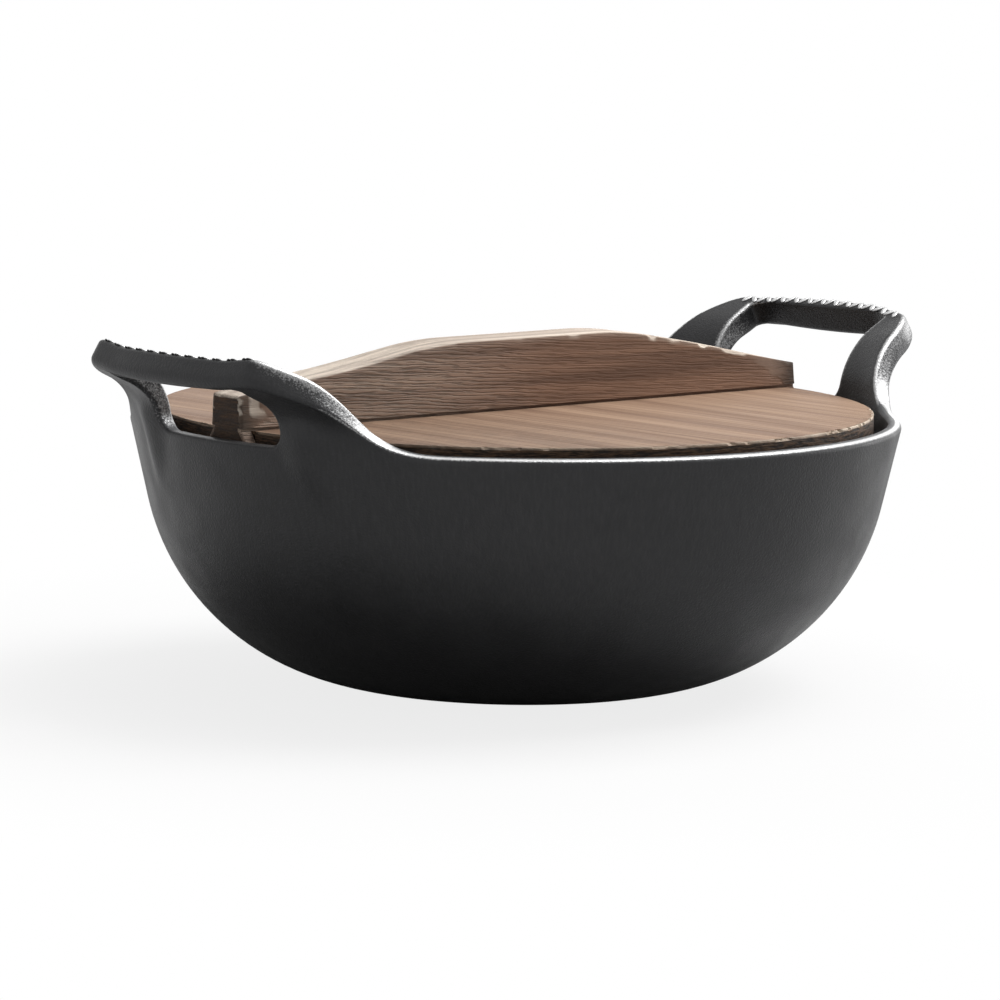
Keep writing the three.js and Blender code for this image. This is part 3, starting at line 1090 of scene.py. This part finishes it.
    def ear_border(self, low: float, rim_turn: Array, rim_length: Array) -> tuple[Array, Array]:
        """Outer border of the grid round an opening: sill line, flanks and the free edge.

        Args:
            low: Length of the border's lowest line.
            rim_turn: Turns along the line where the edge's round begins, +90 to -90 degrees.
            rim_length: Lengths along it.

        Returns:
            Turn and length of the border's points, in the order of finger_line.
        """
        first = self.side_steps
        free = slice(first, len(rim_turn) - first - 1)
        rim = rim_length[first]
        turn = np.concatenate([
            spans((-self.ear_span, self.ear_span, self.sill_steps)),
            np.full(self.flank_steps, self.ear_span),
            rim_turn[free],
            np.full(self.flank_steps, -self.ear_span),
        ])
        length = np.concatenate([
            np.full(self.sill_steps, low),
            spans((low, rim, self.flank_steps)),
            rim_length[free],
            spans((rim, low, self.flank_steps)),
        ])
        return turn, length

    def ear_patches(self, lines: dict[Face, tuple[Array, Array]]) -> list[tuple[Array, Array]]:
        """Both faces of an ear as grids round its finger opening, and the opening itself.

        Each face's grid is a straight blend, in turn and share of the height up to the free
        edge there, from the line where the opening's lip begins out to the ear's border. The
        lips are rounded corners between the face and the opening's wall.

        Args:
            lines: Turn and length of the lines where the edge's rounds begin, by face.

        Returns:
            Grids with their wear.
        """
        outline = self.finger_line()
        lips = {Face.OUTER: self.finger_outer_lip, Face.INNER: self.finger_inner_lip}
        lip_worn = {Face.OUTER: self.outer_lip_worn, Face.INNER: self.inner_lip_worn}
        across = np.linspace(0, 1, self.across_steps + 1)[:, None]
        share = np.linspace(0, 1, self.round_steps + 1)[:, None]
        roof = self.roof_share(outline)
        along_wall = 1 / np.hypot(1, roof * math.tan(math.radians(self.finger_draft)))
        upright = np.abs(np.gradient(outline[:, 1])) / np.hypot(*np.gradient(outline, axis=0).T)
        patches, ends = [], []
        for face, low in self.lows.items():
            surface, lip = self.surfaces[face], lips[face]
            reach, turn, length = self.finger_reach(outline, face)
            off_turn, off_length = self.away(turn, length, True)
            lip_turn, lip_length = turn + lip * off_turn, length + lip * off_length
            edge_turn, edge_length = self.ear_border(low, *lines[face])
            lip_share = (lip_length - low) / (self.edge_length(lip_turn) - low)
            edge_share = (edge_length - low) / (self.edge_length(edge_turn) - low)
            grid_turn = closed(blend(lip_turn, edge_turn, across))
            grid_share = closed(blend(lip_share, edge_share, across))
            grid_length = low + grid_share * (self.edge_length(grid_turn) - low)
            sideways = self.lip_radius * np.radians(edge_turn - lip_turn)
            width = np.hypot(sideways, edge_length - lip_length)
            rubbed = blend(*lip_worn[face], upright)
            worn = closed(rubbed * bell(across * width, 0, self.lip_reach))
            patches.append((surface(grid_turn, grid_length), worn))
            end = reach - face * lip * along_wall
            corner, wall = (self.finger_wall(outline, place) for place in (reach, end))
            rounded = round_corner(surface(lip_turn, lip_length), corner, wall, self.round_steps)
            crest = 1 + self.lip_crest_worn * np.sin(math.pi * share)
            patches.append((closed(rounded, 1), closed(rubbed * crest)))
            ends.append(end)
        wall = np.stack([self.finger_wall(outline, place) for place in blend(*ends, share)])
        worn = self.side_worn * upright * (1 - self.side_dull * roof)
        return [*patches, (closed(wall, 1), closed(worn))]

    def inside_profile(self) -> tuple[Array, Array]:
        """Section from the lid's seat over the ledge and down the inside to the floor's middle.

        Returns:
            Radius and height of its points.
        """
        slant = 1 / math.tan(self.slope)
        rise = self.seat_height - self.start_height
        seat = self.start_radius + rise * slant - self.wall / 2 / math.sin(self.slope)
        lip, foot = seat - self.ledge_reach, self.seat_height - self.ledge_face
        drop = (seat - self.ledge_face * slant - lip) / (1 + slant)
        swing = np.linspace(0, QUARTER, self.ledge_steps + 1)
        lip_radius = lip + self.ledge_round * (1 - np.sin(swing))
        lip_height = self.seat_height - self.ledge_round * (1 - np.cos(swing))
        inside = self.corner_radius - self.wall
        bend = np.linspace(self.slope, 0, self.inner_arc_rows)
        radius = np.concatenate([
            np.linspace(seat, lip + self.ledge_round, self.ledge_steps, endpoint=False),
            lip_radius,
            [lip, lip + drop],
            self.base_radius + inside * np.sin(bend),
            [self.base_radius / 2, 0],
        ])
        height = np.concatenate([
            np.full(self.ledge_steps, self.seat_height),
            lip_height,
            [foot, foot - drop],
            self.corner_radius - inside * np.cos(bend),
            [self.wall, self.wall],
        ])
        return radius, height

    def under_profile(self) -> tuple[Array, Array]:
        """Section from the middle of the base round the corner arc to the foot of the wall.

        Returns:
            Radius and height of its points.
        """
        bend = np.linspace(0, self.slope, self.outer_arc_rows)
        arc_radius = self.base_radius + self.corner_radius * np.sin(bend)
        arc_height = self.corner_radius * (1 - np.cos(bend))
        return np.append([0, self.base_radius / 2], arc_radius), np.append([0, 0], arc_height)

    def half_patches(self) -> list[tuple[Array, Array]]:
        """Grids of the half of the pot round the +X handle, from -90 to 90 degrees.

        Returns:
            Grids with their wear.
        """
        ring = spans(
            (-90, -self.ear_span, self.side_steps),
            (-self.ear_span, self.ear_span, self.sill_steps),
            (self.ear_span, 90, self.side_steps),
        )
        ring = np.append(ring, 90.0)
        plain = np.float64(0.0)
        patches = []
        for radius, height in (self.under_profile(), self.inside_profile()):
            patches.append((revolve(ring, radius[:, None], height[:, None]), plain))
        strip, worn, lines = self.edge_strip()
        patches.append((strip, worn))
        for face, surface in self.surfaces.items():
            rim = lines[face][1][0]
            rows = np.linspace(self.lows[face], rim, self.flank_steps + 1)[:, None]
            for side in (ring[: self.side_steps + 1], ring[-self.side_steps - 1 :]):
                patches.append((surface(side[None, :], rows), plain))
        return patches + self.ear_patches(lines)

    def settle(self, points: Array, handle: Handle) -> Array:
        """Moves a grip up by its unevenness: a level, a slope and a parabola along the grip.

        The move fades out down the ear and past the grip's ends.

        Args:
            points: Points of one half of the pot.
            handle: Handle of that half.

        Returns:
            The moved points.
        """
        uneven = self.uneven_right if handle is Handle.RIGHT else self.uneven_left
        furthest = self.uneven_ends[1]
        across = np.clip(points[..., 1] / self.grip_half, -furthest, furthest)
        lift = uneven.level + uneven.slope * across + uneven.arch * (1 - across**2)
        reach = smoothstep(points[..., 2], uneven.start, uneven.start + self.uneven_rise)
        reach = reach * (1 - smoothstep(np.abs(across), *self.uneven_ends))
        return points + (lift * reach)[..., None] * [0, 0, 1]

    def build(self) -> bpy.types.Object:
        """Sews both halves of the pot, the second being the first turned half round.

        Returns:
            The pot.
        """
        quilt = Patchwork(("worn",))
        patches = self.half_patches()
        for handle in Handle:
            for grid, worn in patches:
                quilt.add(self.settle(grid * [handle, handle, 1], handle), worn=worn)
        return quilt.sew("pot_casting", sharp_angle=40)


@dataclass
class GripRelief(Piece):
    """Plain raised bars along the top of each grip, cast with the pot."""

    body = Body.POT
    slot = Slot.IRON

    pot: CastPot
    bars: int = 24
    spread: float = 29.0  # degrees from the first bar to the last
    setback: float = 2.3  # mm from the grip's edge to a bar's middle
    half_length: float = 2.1
    half_width: float = 1.2
    height: float = 0.6
    slant: float = 0.5  # mm along the grip per mm across it, one way and the other in turn
    top_worn: float = 1.1
    worn_heights: tuple[float, float] = (-0.1, 0.6)  # shares of the height that are rubbed
    rings: int = 9
    sectors: int = 17

    def build(self) -> bpy.types.Object:
        """Lays a half-sunk ellipsoid for each bar of a zigzag over the grip's inner face.

        Latitude and longitude of the ellipsoid give the shift across, along and off the face.

        Returns:
            All bars as one piece.
        """
        pot = self.pot
        quilt = Patchwork(("worn",))
        rise, swing = np.meshgrid(
            np.linspace(0, math.pi, self.rings), np.linspace(0, 2 * math.pi, self.sectors)
        )
        middle = pot.wall_length + pot.ear_length - self.setback
        radius = pot.middle_line(np.float64(middle))[0]
        up = self.half_length * np.sin(rise) * np.sin(swing)
        offset = -pot.half_thickness(middle + up) - self.height * np.cos(rise)
        worn = self.top_worn * smoothstep(np.cos(rise), *self.worn_heights)
        turns = np.linspace(-self.spread / 2, self.spread / 2, self.bars)
        slants = self.slant * (-1.0) ** np.arange(self.bars)
        for turn, slant in zip(turns, slants):
            side = self.half_width * np.sin(rise) * np.cos(swing) + slant * up
            bar = pot.place(turn + np.degrees(side / radius), middle + up, offset)
            for handle in Handle:
                quilt.add(pot.settle(bar * [handle, handle, 1], handle), worn=worn)
        return quilt.sew("grip_relief", sharp_angle=60)


@dataclass
class LidBoard(Piece):
    """Round board with a dovetail groove across its top and a sawn, chipped edge."""

    body = Body.LID
    slot = Slot.LID_WOOD
    node = "lid_board"

    radius: float = 124.89
    bottom: float = 85.9
    top: float = 96.9
    groove_neck: float = 8.8
    groove_foot: float = 10.8
    groove_depth: float = 4.8
    arris: float = 0.5
    chip_depth: float = 1.7
    chip_drop: float = 0.6  # how far a chip goes down, as a share of how far it goes in
    chip_mm: float = 2.5
    chip_levels: tuple[float, float] = (0.18, 0.4)  # of the noise that chips the arris
    patch_mm: float = 22.0  # chips come in patches of this size
    patch_levels: tuple[float, float] = (-0.7, 0.1)
    splinter_mm: float = 1.2
    splinter_share: float = 0.4  # of a chip's depth
    rough_x: tuple[float, float] = (-40.0, 60.0)  # between which the arris gets rougher
    rough_least: float = 0.35
    arris_back: float = 0.2  # how far behind the arris a chip begins, as a share of it
    arris_torn: float = 0.75
    arris_sawn: float = 0.5
    under_sawn: float = 0.3
    painted_shade: float = 0.28  # painted shade over the -Y side, as a share of the sawn colour
    painted_shade_x: tuple[float, float] = (-70.0, 5.0)  # between which it fades
    length_steps: int = 640
    arris_rows: int = 4
    edge_rows: int = 8
    top_rows: int = 34
    under_rows: int = 12

    def section(self, half_chord: Array) -> tuple[Array, ...]:
        """Half of the board's section across the groove, from the groove's middle to the bottom.

        Args:
            half_chord: Half the board's width at each place along the groove.

        Returns:
            Across and height, one row per section point, and how far each row is sawn, belongs
            to the top arris and gives way to a chip, 0 to 1.
        """
        floor, inner = self.top - self.groove_depth, half_chord - self.arris
        swing = np.linspace(0, QUARTER, self.arris_rows)
        turned = self.arris * np.sin(swing)[:, None]
        eased = self.arris * (1 - np.cos(swing))
        highest, lowest = self.top - 2 * self.arris, self.bottom + self.arris
        levels = np.linspace(highest, lowest, self.edge_rows)[:-1]
        level_out = np.linspace(0, 1, self.top_rows)[1:-1, None]
        level_in = np.linspace(0, 1, self.under_rows)[1:, None]
        groove = np.array([0.0, 0.5, 1.0])[:, None] * self.groove_foot
        parts = [
            (groove + 0 * half_chord, floor, 0, 0, 0),
            (self.groove_neck + 0 * half_chord[None, :], self.top, 0, 0, 0),
            (blend(self.groove_neck, inner, level_out), self.top, 0, 0, 0),
            (inner[None, :] - self.arris_back * self.arris, self.top, 0, 0, 1),
            (inner + turned, self.top - eased, self.arris_sawn, 1, 1),
            (half_chord + 0 * levels[:, None], levels, 1, 0, 0),
            (inner + turned[::-1], self.bottom + eased[::-1], 1, 0, 0),
            (blend(inner, 0 * inner, level_in), self.bottom, self.under_sawn, 0, 0),
        ]
        across = np.concatenate([part[0] for part in parts])
        columns = (
            np.concatenate([np.broadcast_to(part[k], len(part[0])) for part in parts])
            for k in range(1, 5)
        )
        return across, *columns

    def build(self) -> bpy.types.Object:
        """Carries the section along the groove, its width following the round of the board.

        The top arris is chipped, in along the radius and down, where a noise is high.

        Returns:
            The board.
        """
        quilt = Patchwork(WOOD_MARKS)
        widest = QUARTER - math.asin(self.groove_foot / self.radius)
        swing = np.linspace(-widest, widest, self.length_steps)
        across, *columns = self.section(self.radius * np.cos(swing))
        height, sawn, arris, loose = (column[:, None] for column in columns)
        x = np.broadcast_to(self.radius * np.sin(swing), across.shape)
        z = np.broadcast_to(height, across.shape)
        halves = []
        for side in (1, -1):
            points = np.stack([x, side * across, z], axis=-1)
            spot = points * [1, 1, 0]
            rough = blend(self.rough_least, 1.0, smoothstep(x, *self.rough_x))
            patchy = smoothstep(
                lattice_noise(spot, self.patch_mm, Seed.CHIP_PATCHES), *self.patch_levels
            )
            chipped = smoothstep(lattice_noise(spot, self.chip_mm, Seed.CHIPS), *self.chip_levels)
            chipped = chipped * rough * patchy
            splinters = lattice_noise(spot, self.splinter_mm, Seed.SPLINTERS)
            depth = 1 - self.splinter_share + self.splinter_share * splinters
            chips = self.chip_depth * chipped * depth
            points = points * (1 - (loose * chips / self.radius)[..., None] * [1, 1, 0])
            points[..., 2] -= arris * chips * self.chip_drop
            # Painted shade: the sawn edges' dark colour is mixed over the -Y side towards -X.
            painted_shade = self.painted_shade * (1 - smoothstep(x, *self.painted_shade_x)) * (side < 0)
            quilt.add(
                points,
                sawn=np.maximum(sawn, painted_shade),
                torn=arris * np.maximum(self.arris_torn * rough, chipped),
                brushed=1 - sawn,
            )
            halves.append(points)
        quilt.cap_ends(halves, sawn=1.0)
        return quilt.sew("lid_board_brushed", sharp_angle=35)


@dataclass
class LidBatten(Piece):
    """Batten with a crowned top, tapered and hewn ends and a dovetail foot in the board."""

    body = Body.LID
    slot = Slot.BATTEN_WOOD
    node = "lid_batten"

    board_top: float = 96.9
    half_length: float = 129.0
    width: float = 17.0
    rise: float = 25.0
    end_rise: float = 10.1
    end_skew: float = 1.5  # mm that the +X end lies below the even taper and the -X end above it
    skew_from: float = 70.0  # mm from the middle
    taper: float = 9.7
    crown_radius: float = 150.0
    round_drop: float = 0.6  # of the long edges
    round_width: float = 0.8
    foot_gap: float = 1.0  # how far the foot of each side is eased back over the board
    foot_tilt: float = 0.95  # height of the eased part's inner edge, as a share of that
    dovetail_depth: float = 4.5
    dovetail_flare: float = 2.0
    end_round: float = 1.0
    hewn_back_top: float = 20.0
    hewn_back_foot: float = 5.0
    hewn_inset: float = 0.35
    hewn_far: float = 0.5  # share of the inset on the +Y side
    hewn_round: float = 0.5
    hewn_edge: float = 0.06  # half the width over which the hewn face's colour begins
    dent_depth: float = 0.15  # of the hewn faces
    dent_mm: float = 4.0
    tear_depth: float = 0.9  # of the long edges
    tear_mm: float = 2.2
    tear_stretch: float = 0.35  # along the grain
    tear_levels: tuple[float, float] = (0.1, 0.6)  # of the noise that tears the edges
    tear_x: tuple[float, float] = (5.0, 40.0)  # between which an edge gets rougher
    tear_least: float = 0.2
    tear_swing: tuple[float, float] = (0.5, 2.2)  # radians of the sine that fades a tear

    top_pale: float = 0.8  # worn, clean wood on the top
    top_fade: float = 0.9  # share of it where a long edge begins
    edge_pale: float = 0.3  # clean wood on the long edges where they aren't torn
    side_pale: float = 0.26  # clean wood on the sides towards -X
    side_pale_x: tuple[float, float] = (-75.0, 20.0)
    brushed: tuple[float, float] = (1.0, 0.28)  # how far the fibres stand out at -X and at +X
    brushed_x: tuple[float, float] = (-70.0, 30.0)
    hewn_dark: tuple[float, float] = (0.1, 0.9)  # colour of the hewn faces, inside and at the end
    hewn_dark_from: float = 114.0
    hewn_dull: float = 0.8  # share of the paleness that hewing takes off
    fresh_pale: float = 0.12  # of the hewn faces away from the end
    fresh_x: tuple[float, float] = (114.0, 126.0)
    split_pale: float = 0.75  # splinters on the hewn faces at -X
    split_mm: float = 2.0
    split_stretch: float = 0.6
    split_levels: tuple[float, float] = (0.1, 0.35)
    split_x: tuple[float, float] = (116.0, 120.0)
    split_heights: tuple[float, float] = (3.0, 6.0)

    length_steps: int = 330
    round_rows: int = 6
    top_rows: int = 5
    side_rows: int = 12

    def top_line(self, x: Array) -> Array:
        """Height of the top along the batten: a level crown, a round shoulder, a straight taper.

        Args:
            x: Place along the batten.

        Returns:
            Height over the board.
        """
        slope = math.radians(self.taper)
        shoulder = self.half_length - (self.rise - self.end_rise) / math.tan(slope)
        crown = max(shoulder - self.crown_radius * math.tan(slope / 2), 0)
        past = np.maximum(np.abs(x) - crown, 0)
        arc_end = self.crown_radius * math.sin(slope)
        bent = np.minimum(past, arc_end)
        arc = np.sqrt(self.crown_radius**2 - bent**2) - self.crown_radius
        return self.rise + arc - np.maximum(past - arc_end, 0) * math.tan(slope)

    def hewn_limit(self, x: Array, z: Array, near: bool) -> Array:
        """How wide half the batten may be, behind the slanting plane hewn off each end's corner.

        Args:
            x: Place along the batten.
            z: Height over the board.
            near: True on the -Y side, which is hewn deeper.

        Returns:
            Half width at each place.
        """
        inset = self.hewn_inset * (1.0 if near else self.hewn_far)
        back = self.half_length - np.abs(x)
        start = blend(self.hewn_back_foot, self.hewn_back_top, z / self.end_rise)
        return self.width / 2 + inset / self.hewn_back_foot * (back - start)

    def stations(self) -> tuple[Array, Array]:
        """Places along the batten, closer together in the quarter rounds of its ends.

        Returns:
            X of each place, and how far the round has cut in there, 0 to 1.
        """
        swing = np.linspace(0, QUARTER, self.round_rows)
        x = np.concatenate([
            -self.half_length + self.end_round * (1 - np.cos(swing))[:-1],
            np.linspace(-1, 1, self.length_steps) * (self.half_length - self.end_round),
            self.half_length - self.end_round * (1 - np.sin(swing))[1:],
        ])
        near_end = np.clip(1 - (self.half_length - np.abs(x)) / self.end_round, 0, 1)
        return x, 1 - np.sqrt(1 - near_end**2)

    def section(self, x: Array, rounded: Array) -> tuple[Array, Array]:
        """Half of the section at each place along the batten.

        It runs from the middle of the top over an elliptical long edge, straight down the side,
        in under its eased foot and out round the dovetail.

        Args:
            x: Places along the batten.
            rounded: How far the ends' rounds have cut in there.

        Returns:
            Across, one value per section point, and height over the board, a row per point.
        """
        half, flat = self.width / 2, self.width / 2 - self.round_width
        skew = np.sign(x) * smoothstep(np.abs(x), self.skew_from, self.half_length)
        top = self.top_line(x) - self.end_skew * skew - self.end_round * rounded
        swing = np.linspace(0, QUARTER, self.round_rows + 1)[1:]
        across = np.concatenate([
            np.linspace(0, flat, self.top_rows),
            flat + self.round_width * np.sin(swing),
            np.full(self.side_rows, half),
            np.full(2, half - self.foot_gap),
            [half + self.dovetail_flare, 0],
        ])
        drop = np.append(np.zeros(self.top_rows), self.round_drop * (1 - np.cos(swing)))
        upper = top - drop[:, None]
        share = np.linspace(0, 1, self.side_rows + 1)[1:, None]
        foot = [self.foot_tilt * self.foot_gap, 0.0, -self.dovetail_depth, -self.dovetail_depth]
        lower = np.array(foot)[:, None] + 0 * x
        return across, np.concatenate([upper, blend(upper[-1], self.foot_gap, share), lower])

    def marks(self, spot: Array, hewn: Array, pale: Array) -> dict[str, Array]:
        """Marks of one half: dark hewn ends, pale worn and splintered wood, standing fibres.

        Args:
            spot: Points before they were hewn, as x, y and height over the board.
            hewn: How far each point is on a hewn face, 0 to 1.
            pale: How pale the top and the long edges are.

        Returns:
            Values per point, by mark.
        """
        x, z = spot[..., 0], spot[..., 2]
        out = np.abs(x)
        pale = np.maximum(pale, self.side_pale * (1 - smoothstep(x, *self.side_pale_x)))
        fresh = self.fresh_pale * hewn * (1 - smoothstep(out, *self.fresh_x))
        torn = np.maximum(pale * (1 - self.hewn_dull * hewn), fresh)
        split = lattice_noise(spot * [self.split_stretch, 1, 1], self.split_mm, Seed.SPLITS)
        split = smoothstep(split, *self.split_levels) * hewn
        split = split * smoothstep(-x, *self.split_x) * smoothstep(z, *self.split_heights)
        dark = blend(*self.hewn_dark, smoothstep(out, self.hewn_dark_from, self.half_length))
        fibres = blend(*self.brushed, smoothstep(x, *self.brushed_x))
        return {
            "sawn": hewn * dark,
            "torn": np.maximum(torn, self.split_pale * split),
            "brushed": fibres * (1 - hewn),
        }

    def build(self) -> bpy.types.Object:
        """Carries the batten's section along X.

        Noise tears the top edges and dents the hewn planes.

        Returns:
            The batten.
        """
        quilt = Patchwork(WOOD_MARKS)
        x, rounded = self.stations()
        across, z = self.section(x, rounded)
        x = np.broadcast_to(x, z.shape)
        below = np.zeros(len(across) - self.top_rows - self.round_rows)
        over_edge = np.sin(np.linspace(*self.tear_swing, self.round_rows))
        edge = np.concatenate([np.zeros(self.top_rows), over_edge, below])[:, None]
        off_top = np.linspace(self.top_fade, 0.0, self.round_rows)
        top = np.concatenate([np.ones(self.top_rows), off_top, below])[:, None]
        halves = []
        for side in (1, -1):
            y = np.broadcast_to(across[:, None], z.shape)
            spot = np.stack([x, side * y, z], axis=-1)
            dents = self.dent_depth * lattice_noise(spot, self.dent_mm, Seed.DENTS)
            limit = self.hewn_limit(x, z, side < 0) + dents
            hewn = np.where(z < 0, 0, smoothstep(y - limit, -self.hewn_edge, self.hewn_edge))
            y = np.where(z < 0, y, rounded_min(y, limit, self.hewn_round))
            y = y - self.end_round * rounded
            tear = lattice_noise(spot * [self.tear_stretch, 1, 1], self.tear_mm, Seed.TEARS)
            tear = smoothstep(tear, *self.tear_levels)
            tear = tear * blend(self.tear_least, 1.0, smoothstep(-side * x, *self.tear_x))
            height = self.board_top + z - edge * tear * self.tear_depth
            grid = np.stack([x, side * y, height], axis=-1)
            pale = np.clip(self.top_pale * top + edge * blend(self.edge_pale, 1.0, tear), 0, 1)
            quilt.add(grid, **self.marks(spot, hewn, pale))
            halves.append(grid)
        quilt.cap_ends(halves, sawn=1.0)
        return quilt.sew("lid_batten_hewn", sharp_angle=40)


@dataclass(frozen=True)
class Lamp:
    """Soft box that looks at the pot.

    Its azimuth is counted in degrees from the camera's side of the pot, and its distance and
    size are in metres.
    """

    name: str
    azimuth: float
    elevation: float
    distance: float
    size: tuple[float, float]
    watts: float


@dataclass
class Studio:
    """White floor, soft lamps and the camera."""

    target: tuple[float, float, float] = (0.0, 0.0, 60.0)
    distance: float = 1800.0
    azimuth: float = -41.6
    elevation: float = 7.434
    roll: float = 0.85
    focal_px: float = 5132.0
    centre_px: tuple[float, float] = (514.58, 510.39)
    image_px: int = 1000
    sensor_mm: float = 36.0
    sight: float = 40.0  # metres that the camera sees
    floor_colour: str = "#e6e6e6"
    floor_rings: tuple[float, float, int] = (60.0, 15000.0, 24)  # radii, and how many
    floor_sectors: int = 96
    floor_gap: float = 0.05  # keeps the floor and the pot's base from lying in one plane
    paper_mm: tuple[float, float] = (140.0, 340.0)  # where the paper begins and ends turning white
    paper_white: float = 0.82  # how white the paper is for the camera close to the pot
    room_strength: float = 0.22
    gloss_strength: float = 1.0
    lamps: tuple[Lamp, ...] = (
        Lamp("top_soft_box", 110, 78, 1.5, (1.4, 1.4), 9),
        Lamp("back_panel", 168, 12, 2.2, (3.0, 0.9), 10),
        Lamp("right_soft_box", 115, 52, 1.5, (1.0, 1.0), 21),
        Lamp("right_panel", 122, 6, 1.8, (1.0, 0.5), 5),
    )

    def axes(self, azimuth: float, elevation: float) -> tuple[Vector, Vector, Vector]:
        """Directions of something that looks at the target.

        Args:
            azimuth: Degrees about Z from -Y, where it stands.
            elevation: Degrees above the floor.

        Returns:
            Its right, up and back.
        """
        a, e = math.radians(azimuth), math.radians(elevation)
        back = Vector((math.sin(a) * math.cos(e), -math.cos(a) * math.cos(e), math.sin(e)))
        right = Vector((math.cos(a), math.sin(a), 0))
        return right, back.cross(right), back

    def stand(self, name: str, data: bpy.types.ID, columns: tuple[Vector, ...]) -> bpy.types.Object:
        """Puts a camera or a lamp into the scene.

        Args:
            name: Its name.
            data: Its settings.
            columns: Its right, up and back, and its place in metres.

        Returns:
            The new object.
        """
        stood = bpy.data.objects.new(name, data)
        bpy.context.scene.collection.objects.link(stood)
        stood.matrix_world = Matrix([[*row] for row in zip(*columns)]).to_4x4()
        return stood

    def camera(self) -> None:
        """Places the camera at the photograph's view."""
        right, up, back = self.axes(self.azimuth, self.elevation)
        r = math.radians(self.roll)
        columns = (
            right * math.cos(r) + up * math.sin(r),
            up * math.cos(r) - right * math.sin(r),
            back,
            (Vector(self.target) + back * self.distance) * MM,
        )
        data = bpy.data.cameras.new("camera")
        data.sensor_width = self.sensor_mm
        data.lens = self.focal_px * self.sensor_mm / self.image_px
        data.shift_x = (self.image_px / 2 - self.centre_px[0]) / self.image_px
        data.shift_y = (self.centre_px[1] - self.image_px / 2) / self.image_px
        data.clip_end = self.sight
        bpy.context.scene.camera = self.stand("camera", data, columns)

    def light(self, lamp: Lamp) -> None:
        """Adds a lamp.

        Args:
            lamp: The soft box.
        """
        right, up, back = self.axes(self.azimuth + lamp.azimuth, lamp.elevation)
        data = bpy.data.lights.new(lamp.name, "AREA")
        data.shape = "RECTANGLE"
        data.size, data.size_y = lamp.size
        data.energy = lamp.watts
        place = Vector(self.target) * MM + back * lamp.distance
        self.stand(lamp.name, data, (right, up, back, place))

    def floor(self) -> None:
        """Round matt floor that fills the picture: rings about the pot, closer towards it.

        Round the pot it is paper that keeps the shadow. Further off it turns evenly white for
        the camera and for glossy rays, as an overlit background does.
        """
        radius = np.append(0.0, np.geomspace(*self.floor_rings))[:, None]
        quilt = Patchwork(())
        quilt.add(revolve(np.linspace(0, 360, self.floor_sectors + 1), radius, -self.floor_gap))
        floor = quilt.sew("paper_floor", sharp_angle=60)
        made, tree, paper = new_material("matt_white_paper")
        paper.inputs["Base Color"].default_value = to_linear(self.floor_colour)
        paper.inputs["Roughness"].default_value = 1.0
        paper.inputs["Specular IOR Level"].default_value = 0.0
        node = partial(add_node, tree)
        place = node("TexCoord", output="Object")
        away = node("VectorMath", {"operation": "LENGTH"}, {0: place}, "Value")
        near, far = (edge * MM for edge in self.paper_mm)
        shares = []
        for least, ray in ((self.paper_white, "Is Camera Ray"), (0.0, "Is Glossy Ray")):
            fade = {"interpolation_type": "SMOOTHSTEP", **dict(zip(RANGE, (near, far, least)))}
            white = node("MapRange", fade, {"Value": away})
            sent = node("LightPath", output=ray)
            shares.append(node("Math", {"operation": "MULTIPLY"}, {0: white, 1: sent}))
        share = node("Math", {"operation": "ADD"}, dict(enumerate(shares)))
        glow = node("Emission", {"Strength": 1.0})
        both = node("MixShader", None, {0: share, 1: paper.outputs["BSDF"], 2: glow})
        tree.links.new(both, tree.nodes["Material Output"].inputs["Surface"])
        floor.data.materials.append(made)

    def world(self) -> None:
        """Even room light, dim where it falls on things and white where a gloss reflects it."""
        world = bpy.data.worlds.new("room")
        bpy.context.scene.world = world
        world.use_nodes = True
        tree = world.node_tree
        room = tree.nodes["Background"]
        room.inputs["Color"].default_value = (1, 1, 1, 1)
        mirrored = add_node(tree, "LightPath", output="Is Glossy Ray")
        levels = {"To Min": self.room_strength, "To Max": self.gloss_strength}
        strength = add_node(tree, "MapRange", levels, {"Value": mirrored})
        tree.links.new(strength, room.inputs["Strength"])

    def build(self) -> None:
        """Sets up the camera, the floor and the light."""
        bpy.context.scene.view_settings.view_transform = "Standard"
        self.camera()
        self.floor()
        self.world()
        for lamp in self.lamps:
            self.light(lamp)


def main() -> None:
    """Builds the studio and the pieces in order."""
    logging.basicConfig(level=logging.INFO, format="%(name)s %(message)s")
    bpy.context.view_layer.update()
    Studio().build()
    iron = CastIron().material()
    pot = CastPot()
    pot.dress(iron)
    GripRelief(pot).dress(iron)
    LidBoard().dress(BOARD_WOOD.material())
    LidBatten().dress(BATTEN_WOOD.material())


if __name__ == "__main__":
    main()
